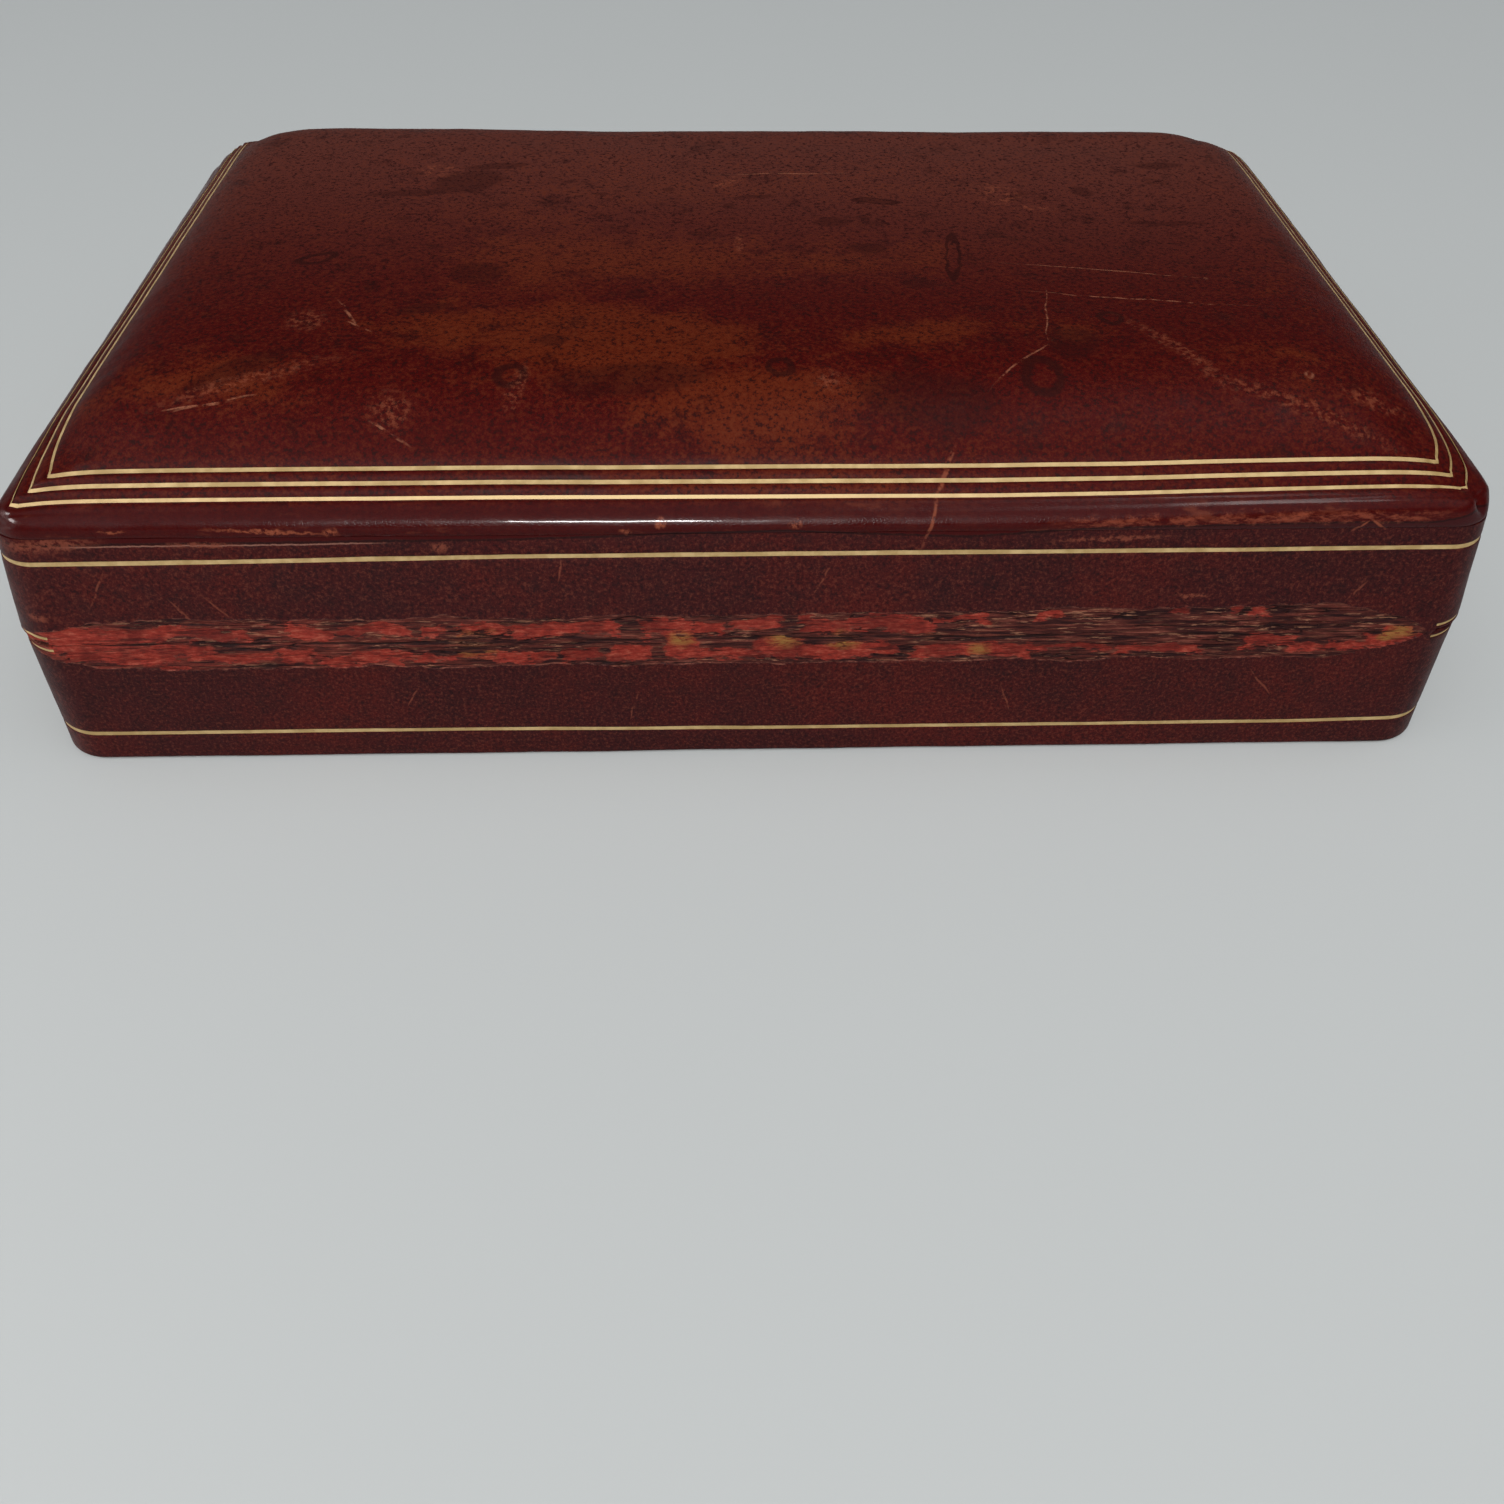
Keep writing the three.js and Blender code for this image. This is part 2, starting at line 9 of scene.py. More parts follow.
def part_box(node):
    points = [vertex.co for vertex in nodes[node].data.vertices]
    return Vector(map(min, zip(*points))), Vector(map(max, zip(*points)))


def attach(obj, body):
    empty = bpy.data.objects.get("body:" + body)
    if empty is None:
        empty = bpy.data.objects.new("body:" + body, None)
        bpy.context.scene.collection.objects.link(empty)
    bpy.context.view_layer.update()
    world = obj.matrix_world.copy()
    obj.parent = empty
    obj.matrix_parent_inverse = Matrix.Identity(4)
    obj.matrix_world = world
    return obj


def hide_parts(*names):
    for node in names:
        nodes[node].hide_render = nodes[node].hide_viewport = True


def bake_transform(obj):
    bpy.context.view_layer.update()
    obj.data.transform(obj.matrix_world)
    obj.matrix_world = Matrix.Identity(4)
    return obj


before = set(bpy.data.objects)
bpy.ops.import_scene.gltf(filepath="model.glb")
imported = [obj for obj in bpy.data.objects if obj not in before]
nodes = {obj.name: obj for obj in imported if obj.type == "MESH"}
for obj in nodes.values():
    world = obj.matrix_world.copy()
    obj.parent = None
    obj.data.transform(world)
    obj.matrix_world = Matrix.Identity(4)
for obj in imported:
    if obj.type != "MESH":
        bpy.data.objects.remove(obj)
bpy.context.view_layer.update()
mm = 0.001


def boxMm(node):
    low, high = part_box(node)
    return np.array(low) / mm, np.array(high) / mm


def addObject(name, data):
    made = bpy.data.objects.new(name, data)
    bpy.context.scene.collection.objects.link(made)
    return made


print("stage: camera")

photoView = {
    "place": (-7.2, -276.9, 180.1),  # mm, in the box's own frame
    "down": 42.86,  # degrees below level
    "turn": 2.23,  # towards +X
    "roll": 0.76,
    "focalPixels": 1429,
    "framePixels": 1504,
    "sensorWidth": 36.0,
}


def addCamera(view):
    down, turn, roll = (math.radians(view[key]) for key in ("down", "turn", "roll"))
    ahead = Vector((math.sin(turn) * math.cos(down), math.cos(turn) * math.cos(down), -math.sin(down)))
    level = Vector((math.cos(turn), -math.sin(turn), 0))
    upright = level.cross(ahead)
    right = level * math.cos(roll) + upright * math.sin(roll)
    data = bpy.data.cameras.new("photoCamera")
    data.sensor_width = view["sensorWidth"]
    data.lens = view["sensorWidth"] * view["focalPixels"] / view["framePixels"]
    data.clip_start = 0.01
    camera = addObject("photoCamera", data)
    axes = Matrix((right, right.cross(ahead), -ahead)).transposed()
    camera.matrix_world = Matrix.Translation(Vector(view["place"]) * mm) @ axes.to_4x4()
    bpy.context.scene.camera = camera


addCamera(photoView)

# Node helpers


def newMaterial(name):
    material = bpy.data.materials.new(name)
    material.use_nodes = True
    tree = material.node_tree
    return material, tree, tree.nodes["Principled BSDF"]


def plug(tree, socket, value):
    if isinstance(value, bpy.types.NodeSocket):
        tree.links.new(value, socket)
    else:
        socket.default_value = (*value, 1) if socket.type == "RGBA" else value


def addNode(tree, kind, inputs=None, **settings):
    node = tree.nodes.new(kind)
    for key, value in settings.items():
        setattr(node, key, value)
    for socket, value in (inputs or {}).items():
        plug(tree, node.inputs[socket], value)
    return node


def calc(tree, operation, *values):
    return addNode(tree, "ShaderNodeMath", dict(enumerate(values)), operation=operation).outputs[0]


def plus(tree, first, second):
    return calc(tree, "ADD", first, second)


def times(tree, *values):
    total = values[0]
    for value in values[1:]:
        total = calc(tree, "MULTIPLY", total, value)
    return total


def remap(tree, value, low, high, toLow=0.0, toHigh=1.0):
    inputs = {0: value, 1: low, 2: high, 3: toLow, 4: toHigh}
    return addNode(tree, "ShaderNodeMapRange", inputs, interpolation_type="SMOOTHSTEP").outputs[0]


# 1 between two places along an axis, with soft ends.
def between(tree, value, low, high, soft):
    rise = remap(tree, value, low - soft, low + soft)
    return times(tree, rise, remap(tree, value, high - soft, high + soft, 1.0, 0.0))


def mixColour(tree, share, first, second):
    return addNode(tree, "ShaderNodeMix", {0: share, 6: first, 7: second}, data_type="RGBA").outputs[2]


# Lays a colour over a tone, by shares that follow a mask from its low level to its high one.
def layOver(tree, tone, colour, mask, low, high, share=0.0, highShare=1.0):
    return mixColour(tree, remap(tree, mask, low, high, share, highShare), tone, colour)


def objectPlace(tree):
    return addNode(tree, "ShaderNodeTexCoord").outputs["Object"]


def alongAxes(tree, place):
    return addNode(tree, "ShaderNodeSeparateXYZ", {0: place}).outputs


def stretched(tree, place, stretch):
    return addNode(tree, "ShaderNodeMapping", {"Vector": place, "Scale": stretch}).outputs[0]


def cloud(tree, place, sizeMm, detail=3.0, roughness=0.55, output=0):
    inputs = {"Vector": place, "Scale": 1 / (sizeMm * mm), "Detail": detail, "Roughness": roughness}
    return addNode(tree, "ShaderNodeTexNoise", inputs).outputs[output]


# A cloud that swings to both sides of zero.
def swingingCloud(tree, place, sizeMm, roughness):
    return calc(tree, "SUBTRACT", cloud(tree, place, sizeMm, 4.0, roughness), 0.5)


def bumpFrom(tree, height, depthMm, strength=1.0, below=None):
    inputs = {"Height": height, "Distance": depthMm * mm, "Strength": strength}
    if below is not None:
        inputs["Normal"] = below
    return addNode(tree, "ShaderNodeBump", inputs).outputs[0]


def readValue(tree, name):
    return addNode(tree, "ShaderNodeAttribute", attribute_name=name).outputs["Fac"]


def dress(tree, shader, colour, roughness, relief):
    for socket, value in (("Base Color", colour), ("Roughness", roughness), ("Normal", relief)):
        plug(tree, shader.inputs[socket], value)


def leatherGrain(tree, place, cellMm):
    wander = cloud(tree, place, cellMm * 3, 1.0, 0.5, "Color")
    shift = addNode(tree, "ShaderNodeVectorMath", {0: wander, "Scale": cellMm * mm * 0.9}, operation="SCALE")
    moved = addNode(tree, "ShaderNodeVectorMath", {0: place, 1: shift.outputs[0]}).outputs[0]
    inputs = {"Vector": moved, "Scale": 1 / (cellMm * mm)}
    cells = addNode(tree, "ShaderNodeTexVoronoi", inputs, feature="DISTANCE_TO_EDGE").outputs["Distance"]
    creases = remap(tree, cells, 0.0, 0.22)
    fine = cloud(tree, place, cellMm * 0.45, 2.0)
    return plus(tree, times(tree, creases, 0.7), times(tree, fine, 0.5))


def shiftedPlace(tree, place, sizeMm, reachMm):
    drift = cloud(tree, place, sizeMm, 2.0, 0.5, "Color")
    centred = addNode(tree, "ShaderNodeVectorMath", {0: drift, 1: (0.5, 0.5, 0.5)}, operation="SUBTRACT")
    inputs = {0: centred.outputs[0], "Scale": 2 * reachMm * mm}
    scaled = addNode(tree, "ShaderNodeVectorMath", inputs, operation="SCALE")
    return addNode(tree, "ShaderNodeVectorMath", {0: place, 1: scaled.outputs[0]}).outputs[0]


# A soft oval, seen from above or from the back: 1 inside and 0 outside, or 1 on its rim only.
def ovalMark(tree, place, mark, edge, fromBack):
    x, y, halfLength, halfWidth, turn, *rim = mark
    up = 2 if fromBack else 1
    middle, size, turned = [x * mm, 0, 0], [halfLength * mm, 10, 10], [0, 0, 0]
    middle[up], size[up] = y * mm, halfWidth * mm
    turned[3 - up] = math.radians(-turn if fromBack else turn)
    inputs = {"Vector": place, "Location": middle, "Rotation": turned, "Scale": size}
    local = addNode(tree, "ShaderNodeMapping", inputs, vector_type="TEXTURE").outputs[0]
    reach = addNode(tree, "ShaderNodeVectorMath", {0: local}, operation="LENGTH").outputs["Value"]
    if not rim:
        return remap(tree, reach, 1 - edge, 1 + edge, 1.0, 0.0)
    gap = calc(tree, "ABSOLUTE", calc(tree, "SUBTRACT", reach, 1.0))
    return remap(tree, gap, rim[0] * 0.4, rim[0], 1.0, 0.0)


def allMarks(tree, place, marks, edge=0.5, fromBack=False):
    ovals = [ovalMark(tree, place, mark, edge, fromBack) for mark in marks]
    top = ovals[0]
    for oval in ovals[1:]:
        top = calc(tree, "MAXIMUM", top, oval)
    return top


print("stage: materials")

# Marks on the cushion, in mm from the middle: centre x, y, half length, half width, turn in degrees.
cushionStains = [
    (-57, 29, 8, 5.5, 35),
    (-68, 22, 9, 1.8, 10),
    (-52, 38, 7, 1.6, 12),
    (-34, -45, 2.4, 2.2, 0),
    (-20, -26, 1.8, 2.2, 0),
    (-58, -33, 5, 1.7, 20),
    (-50, -17, 5, 4.5, 30),
    (-14.5, 27, 1.6, 1.2, 0),
    (-2, 18, 1.5, 1.3, 0),
    (3, 23, 4.5, 1.0, 10),
    (28.9, 22, 5, 1.3, -8),
    (18.9, 10.5, 3.6, 2.2, 4),
    (25, -3, 4, 3, 0),
    (33, -21, 3.6, 2.5, 0),
    (28, -53.6, 1.6, 2, 0),
    (74, 28, 2.4, 2.6, 0),
    (94, 42, 5, 1.7, -6),
    (57, -47, 4.6, 6, -20),
    (88, 11, 9, 1.2, -8),
    (-28.5, 24, 1.6, 0.9, 0),
    (-86, -54, 10, 2.6, 35),
    (30, -62, 12, 6, -8),
    (-20, -57, 14, 4, 4),
]
cushionRings = [
    (49.8, -57.2, 3.0, 4.0, 0, 0.42),
    (65.7, -36.9, 1.9, 2.4, 0, 0.4),
    (5.5, -54.8, 1.7, 2.2, 0, 0.45),
    (-80.8, -11.7, 3.6, 1.8, 30, 0.4),
    (-40.4, -56.2, 2.2, 2.4, 0, 0.5),
    (41.6, -7, 1.3, 10.5, -8, 0.32),
    (28.9, 22.3, 4.6, 1.3, -8, 0.3),
]
cushionRubs = [
    (-77.7, -37.8, 3.4, 3.6, 0),
    (-59.4, -63.9, 3.2, 3.4, 0),
    (-39, -59, 1.4, 5, -12),
    (13.7, -58.3, 2.6, 2.2, 0),
    (-0.2, -1.3, 0.9, 4.6, 0),
    (55.5, 27, 4.5, 5.5, 30),
    (62, 19.5, 4, 1.2, -10),
    (-2, 31, 4.5, 1.6, 50),
    (-64, 35, 4, 3.4, 10),
    (-84, -57, 14, 1.6, 22),
    (75, -50, 13.5, 1.3, -62),
    (92, -64, 15, 1.4, -24),
    (106, -62, 5, 2.0, -10),
]
cushionScratches = [
    (-71, -35, 5.5, 0.28, -62),
    (-67.5, -40.5, 3.2, 0.2, -35),
    (-59.5, -67.6, 3.4, 0.22, -30),
    (47, -53, 7.4, 0.2, 48),
    (54.5, -35, 9.8, 0.16, 80),
    (70, -14.5, 18, 0.16, -13),
    (73, -28.5, 17, 0.2, -12),
    (-88, -62, 7, 0.25, 16),
    (-92, -63, 5, 0.2, 10),
    (10, 36, 13, 0.16, 4),
    (88, -18.8, 0.5, 0.5, 0),
    (95.7, -57.4, 0.7, 0.9, 0),
]

# Marks on the back: middle x, height, half length, half height, turn in degrees.
backRubs = [
    (-68.6, 47.6, 1.1, 0.75, 0),
    (-78.5, 47.9, 8.5, 0.3, -3),
    (-20.8, 47.3, 1.0, 0.5, 0),
    (-15, 48.7, 0.8, 0.8, 0),
    (7, 48.4, 0.9, 0.7, 0),
    (-51.3, 44.6, 1.4, 0.8, 0),
    (-115, 45.6, 7.5, 1.3, 4),
    (-103.8, 48, 1.8, 0.25, 0),
    (-120.3, 31.7, 1.7, 0.6, 0),
    (75.5, 34.1, 2.7, 0.35, 0),
    (73.2, 29.7, 1.6, 0.45, 0),
    (83.6, 30.2, 1.2, 0.4, 0),
    (88, 28.9, 1.1, 0.35, 0),
    (-90, 45.4, 5, 0.5, 0),
    (60, 45.2, 9, 0.35, 2),
]
backScratches = [
    (31.95, 53.7, 2.9, 0.34, 57),
    (29.35, 47.7, 4.2, 0.3, 73),
    (-95.6, 32.2, 3.2, 0.24, -56),
    (-90, 33.6, 2.6, 0.18, -50),
    (103.9, 34.7, 2.0, 0.2, 52),
    (104, 47.5, 1.7, 0.22, -33),
    (101, 47.2, 1.4, 0.2, 40),
    (-32, 40.5, 2.2, 0.16, 80),
    (12, 38, 2.8, 0.15, 64),
    (-109, 37, 3.4, 0.18, 62),
    (-21, 11, 3.0, 0.16, 75),
    (-60, 14, 2.2, 0.16, 60),
    (46, 12, 2.6, 0.16, -70),
    (92, 15, 3.6, 0.18, -50),
]

seamLook = {
    "shadow": (0.012, 0.002, 0.002),
    "paleEdge": (0.3, 0.14, 0.1),
    "wornEdge": (0.42, 0.1, 0.05),
    "wornFrom": (0.052, 0.114),  # metres along the box
    "paleFrom": (-0.112, -0.062),
}


# Where the top leather's edge is pasted over the wall's, one tone gives way to the other.
def overlapTone(tree, place, axes, above, below):
    look = seamLook
    atBack = remap(tree, axes[1], -0.074, -0.071, 1.0, 0.0)
    torn = swingingCloud(tree, place, 1.6, 0.7)
    over = plus(tree, readValue(tree, "overSeam"), times(tree, torn, 0.5))
    tone = layOver(tree, below, above, over, -0.06, 0.06)
    shade = between(tree, over, -0.42, -0.02, 0.1)
    tone = mixColour(tree, times(tree, shade, 0.75), tone, look["shadow"])
    paleLength = between(tree, axes[0], *look["paleFrom"], 0.004)
    pale = times(tree, between(tree, over, -0.75, -0.5, 0.08), paleLength, atBack, 0.7)
    tone = mixColour(tree, pale, tone, look["paleEdge"])
    ragged = plus(tree, over, times(tree, torn, 3.0))
    wornLength = between(tree, axes[0], *look["wornFrom"], 0.006)
    flakes = remap(tree, cloud(tree, stretched(tree, place, (0.3, 0.3, 1.0)), 1.0, 4.0, 0.75), 0.42, 0.62)
    worn = times(tree, between(tree, ragged, 0.0, 1.6, 0.6), wornLength, atBack, flakes, 0.35)
    return mixColour(tree, worn, tone, look["wornEdge"])


# Rubbed places and scratches of the back whose middles lie between two heights in mm.
def backMarks(tree, place, axes, tone, colour, low, high):
    atBack = remap(tree, axes[1], -0.068, -0.064, 1.0, 0.0)
    ragged, bent = shiftedPlace(tree, place, 1.2, 0.7), shiftedPlace(tree, place, 4, 0.5)
    rubs, cuts = ([m for m in marks if low < m[1] < high] for marks in (backRubs, backScratches))
    rubs, cuts = allMarks(tree, ragged, rubs, fromBack=True), allMarks(tree, bent, cuts, fromBack=True)
    broken = remap(tree, cloud(tree, place, 0.8, 3.0, 0.7), 0.36, 0.58)
    tone = mixColour(tree, times(tree, rubs, broken, atBack, 0.75), tone, colour)
    faint = remap(tree, cloud(tree, place, 1.2, 2.0), 0.36, 0.55)
    return mixColour(tree, times(tree, cuts, faint, atBack, 0.6), tone, colour)


topLeatherLook = {
    "deepRed": (0.058, 0.0012, 0.0008),
    "warmBrown": (0.1, 0.011, 0.002),
    "farBrown": (0.105, 0.027, 0.019),
    "grime": (0.02, 0.002, 0.0015),
    "olive": (0.12, 0.021, 0.006),
    "nose": (0.045, 0.0015, 0.0015),
    "rubbed": (0.3, 0.075, 0.035),
    "scratch": (0.36, 0.13, 0.07),
    "farRange": (-0.045, 0.07),  # metres, from the near side's red to the lighter, greyer brown of the far side
    "noseTop": (3.2, 5.2),  # mm above the leather's foot, where the polished nose ends
    "cloudMm": 34,
    "mottleMm": 7,
    "speckMm": 0.85,
    "grainMm": 0.55,
    "markHeights": (47, 60),  # of the back's marks that lie on this leather
    "roughness": (0.46, 0.58),
    "noseRoughness": (0.25, 0.37),
    "noseCoat": 0.12,
    "coatRoughness": 0.1,
    "specular": 0.045,
}


# The far half turns a lighter, greyer brown, the near shoulder stays red but for warm patches.
def cushionTone(tree, place, axes, mottle, look):
    clouds = cloud(tree, stretched(tree, place, (0.6, 1.0, 1.0)), look["cloudMm"], 4.0, 0.6)
    speck = cloud(tree, place, look["speckMm"], 4.0, 0.75)
    ripple = calc(tree, "SUBTRACT", plus(tree, clouds, mottle), 1.0)
    warmth = plus(tree, readValue(tree, "warmth"), times(tree, ripple, 1.5))
    red = layOver(tree, look["deepRed"], look["warmBrown"], warmth, 0.15, 0.75)
    # the colour turns a lighter, greyer brown towards the far side
    tone = layOver(tree, red, look["farBrown"], axes[1], *look["farRange"])
    tone = layOver(tree, tone, look["grime"], mottle, 0.47, 0.32, 0.0, 0.5)
    flecks = times(tree, remap(tree, speck, 0.5, 0.62), remap(tree, warmth, -0.1, 0.7, 0.3, 0.6))
    tone = mixColour(tree, flecks, tone, look["olive"])
    return layOver(tree, tone, look["grime"], speck, 0.49, 0.38, 0.0, 0.9)


def topLeatherMaterial(look):
    material, tree, shader = newMaterial("topLeather")
    place = objectPlace(tree)
    axes = alongAxes(tree, place)
    mottle = cloud(tree, place, look["mottleMm"], 5.0, 0.7)
    tone = cushionTone(tree, place, axes, mottle, look)
    # stains, drips, rubbed places and scratches
    blurred = shiftedPlace(tree, place, 5, 1.3)
    stains, rings = allMarks(tree, blurred, cushionStains, 0.22), allMarks(tree, blurred, cushionRings)
    blots = calc(tree, "MAXIMUM", times(tree, stains, 0.42), times(tree, rings, 0.7))
    tone = mixColour(tree, blots, tone, look["grime"])
    rubs = allMarks(tree, shiftedPlace(tree, place, 1.6, 1.2), cushionRubs, 0.6)
    broken = remap(tree, cloud(tree, place, 1.1, 3.0, 0.7), 0.45, 0.65)
    tone = mixColour(tree, times(tree, rubs, broken, 0.4), tone, look["rubbed"])
    cuts = allMarks(tree, shiftedPlace(tree, place, 9, 1.2), cushionScratches)
    faint = remap(tree, cloud(tree, place, 1.6, 2.0), 0.38, 0.6)
    tone = mixColour(tree, times(tree, cuts, faint, 0.6), tone, look["scratch"])
    # the nose is handled most, which has polished it
    foot = boxMm("lid_top_leather")[0][2]
    onNose = remap(tree, axes[2], *((foot + rise) * mm for rise in look["noseTop"]), 1.0, 0.0)
    tone = mixColour(tree, times(tree, onNose, 0.75), tone, look["nose"])
    wornEdge = remap(tree, cloud(tree, stretched(tree, place, (0.35, 0.35, 1)), 4, 4.0, 0.65), 0.58, 0.7)
    tone = mixColour(tree, times(tree, onNose, wornEdge, 0.22), tone, look["rubbed"])
    tone = overlapTone(tree, place, axes, tone, wallLeatherLook["burgundy"])
    tone = backMarks(tree, place, axes, tone, look["rubbed"], *look["markHeights"])
    gloss = plus(tree, remap(tree, mottle, 0.3, 0.7, *look["roughness"]), times(tree, rubs, 0.12))
    polish = remap(tree, mottle, 0.35, 0.65, *look["noseRoughness"])
    rough = addNode(tree, "ShaderNodeMix", {0: onNose, 2: gloss, 3: polish}).outputs[0]
    soft = bumpFrom(tree, cloud(tree, place, 3.5, 3.0), 0.12, 0.5)
    fine = bumpFrom(tree, leatherGrain(tree, place, look["grainMm"]), 0.03, 0.55, soft)
    dress(tree, shader, tone, rough, bumpFrom(tree, calc(tree, "SUBTRACT", 1.0, cuts), 0.08, 0.5, fine))
    plug(tree, shader.inputs["Coat Weight"], times(tree, onNose, look["noseCoat"]))
    shader.inputs["Coat Roughness"].default_value = look["coatRoughness"]
    shader.inputs["Specular IOR Level"].default_value = look["specular"]
    return material


wallLeatherLook = {
    "burgundy": (0.04, 0.0052, 0.0056),
    "redder": (0.062, 0.006, 0.005),
    "dark": (0.015, 0.003, 0.0036),
    "rubbed": (0.2, 0.05, 0.028),
    "flesh": (0.235, 0.021, 0.013),
    "fleshPale": (0.35, 0.075, 0.045),
    "tan": (0.25, 0.115, 0.03),
    "fibre": (0.075, 0.017, 0.012),
    "crack": (0.011, 0.003, 0.003),
    "torn": (0.24, 0.075, 0.05),
    "thread": (0.34, 0.15, 0.085),
    "cloudMm": 30,
    "mottleMm": 4,
    "speckMm": 0.62,
    "grainMm": 0.5,
    "strandMm": 0.6,  # of the torn band, whose fibres run along the box
    "hairMm": 0.38,
    "fibreMm": 0.5,
    "markHeights": (0, 48),
    "roughness": (0.38, 0.52),
    "tornRoughness": 0.3,  # more, where the grain is torn
    "specular": 0.07,
}


def wallTone(tree, place, mottle, look):
    clouds = cloud(tree, place, look["cloudMm"], 4.0, 0.6)
    tone = layOver(tree, look["burgundy"], look["redder"], clouds, 0.4, 0.65)
    tone = layOver(tree, tone, look["dark"], mottle, 0.4, 0.75, 0.0, 0.55)
    speck = cloud(tree, place, look["speckMm"], 4.0, 0.75)
    tone = layOver(tree, tone, look["rubbed"], speck, 0.5, 0.65, 0.0, 0.28)
    return layOver(tree, tone, look["dark"], speck, 0.49, 0.37, 0.0, 0.85)


# Where the joint has worn: the torn zone, the bare flesh side, cracks and tan edges.
def tornTone(tree, place, axes, tone, look):
    zone, flesh, crack, tan = (readValue(tree, name) for name in ("zone", "flesh", "crack", "tan"))
    drawnOut = stretched(tree, place, (0.3, 0.3, 1))
    fray = swingingCloud(tree, drawnOut, 0.8, 0.75)
    inZone = remap(tree, plus(tree, zone, times(tree, fray, 1.6)), -0.15, 0.15)
    strands = cloud(tree, stretched(tree, place, (0.07, 0.07, 1.0)), look["strandMm"], 5.0, 0.7)
    worn = layOver(tree, look["dark"], look["fibre"], strands, 0.38, 0.62)
    worn = layOver(tree, worn, look["torn"], strands, 0.57, 0.68, 0.0, 0.7)
    hairs = cloud(tree, stretched(tree, place, (0.1, 0.1, 1.0)), look["hairMm"], 4.0, 0.7)
    inPlaces = remap(tree, cloud(tree, place, 9, 3.0, 0.6), 0.4, 0.6, 0.15, 0.8)
    worn = mixColour(tree, times(tree, remap(tree, hairs, 0.55, 0.64), inPlaces), worn, look["thread"])
    rips = swingingCloud(tree, drawnOut, 2.6, 0.7)
    broken = plus(tree, times(tree, fray, 2.2), times(tree, rips, 4.0))
    veil = times(tree, remap(tree, axes[0], -0.115, -0.03, 0.45, 0.1), remap(tree, strands, 0.4, 0.6))
    bareShare = calc(tree, "MAXIMUM", remap(tree, plus(tree, flesh, broken), -0.4, 0.05), veil)
    fibres = cloud(tree, drawnOut, look["fibreMm"], 5.0, 0.75)
    bare = layOver(tree, look["flesh"], look["fleshPale"], fibres, 0.45, 0.72)
    bare = layOver(tree, bare, look["fibre"], fibres, 0.3, 0.49, 0.9, 0.0)
    bare = layOver(tree, bare, look["crack"], strands, 0.47, 0.36, 0.0, 0.75)
    bare = layOver(tree, bare, look["redder"], cloud(tree, place, 5, 3.0, 0.6), 0.42, 0.62, 0.0, 0.55)
    bare = mixColour(tree, times(tree, tan, remap(tree, fibres, 0.35, 0.55)), bare, look["tan"])
    worn = mixColour(tree, bareShare, worn, bare)
    worn = layOver(tree, worn, look["crack"], crack, 0.35, 0.7, 0.0, 0.85)
    tone = mixColour(tree, inZone, tone, worn)
    rim = times(tree, remap(tree, calc(tree, "ABSOLUTE", zone), 0.0, 0.22, 1.0, 0.0), inZone)
    rightFade = remap(tree, axes[0], 0.085, 0.105, 1.0, 0.1)
    tone = mixColour(tree, times(tree, rim, remap(tree, fibres, 0.4, 0.6), rightFade), tone, look["torn"])
    return tone, inZone, times(tree, strands, inZone)


def wallLeatherMaterial(look):
    material, tree, shader = newMaterial("wallLeather")
    place = objectPlace(tree)
    axes = alongAxes(tree, place)
    mottle = cloud(tree, place, look["mottleMm"], 5.0, 0.7)
    tone = wallTone(tree, place, mottle, look)
    tone = overlapTone(tree, place, axes, topLeatherLook["nose"], tone)
    tone = backMarks(tree, place, axes, tone, look["rubbed"], *look["markHeights"])
    tone, inZone, tornRelief = tornTone(tree, place, axes, tone, look)
    gloss = remap(tree, mottle, 0.3, 0.7, *look["roughness"])
    rough = plus(tree, gloss, times(tree, inZone, look["tornRoughness"]))
    soft = bumpFrom(tree, cloud(tree, place, 3, 3.0), 0.1, 0.5)
    fine = bumpFrom(tree, leatherGrain(tree, place, look["grainMm"]), 0.03, 0.6, soft)
    dress(tree, shader, tone, rough, bumpFrom(tree, tornRelief, 0.25, 0.8, fine))
    shader.inputs["Specular IOR Level"].default_value = look["specular"]
    return material


giltLook = {
    "dull": (0.37, 0.235, 0.08),
    "bright": (0.52, 0.36, 0.155),
    "lost": (0.12, 0.03, 0.02),  # where the foil has gone
    "roughness": (0.45, 0.6),
    "metallic": 0.2,
}


def giltMaterial(look):
    material, tree, shader = newMaterial("giltFoil")
    place = objectPlace(tree)
    patches, specks = cloud(tree, place, 3.5, 4.0, 0.65), cloud(tree, place, 0.5, 3.0, 0.7)
    gold = layOver(tree, look["dull"], look["bright"], patches, 0.35, 0.7)
    tone = mixColour(tree, times(tree, remap(tree, specks, 0.66, 0.78), 0.8), gold, look["lost"])
    rough = remap(tree, patches, 0.3, 0.7, *look["roughness"])
    dress(tree, shader, tone, rough, bumpFrom(tree, specks, 0.03, 0.5))
    shader.inputs["Metallic"].default_value = look["metallic"]
    return material


woodLook = {
    "summer": (0.42, 0.24, 0.11),
    "spring": (0.58, 0.38, 0.2),
    "pore": (0.2, 0.1, 0.04),
    "roughness": (0.6, 0.75),
}


def woodMaterial(look):
    material, tree, shader = newMaterial("bareWood")
    place = objectPlace(tree)
    rings = cloud(tree, stretched(tree, place, (0.12, 1.0, 1.0)), 2.5, 5.0, 0.6)
    pores = cloud(tree, stretched(tree, place, (0.05, 1.0, 1.0)), 0.5, 3.0, 0.7)
    tone = layOver(tree, look["summer"], look["spring"], rings, 0.35, 0.65)
    tone = layOver(tree, tone, look["pore"], pores, 0.6, 0.8, 0.0, 0.5)
    rough = remap(tree, rings, 0.3, 0.7, *look["roughness"])
    dress(tree, shader, tone, rough, bumpFrom(tree, pores, 0.05, 0.5))
    return material


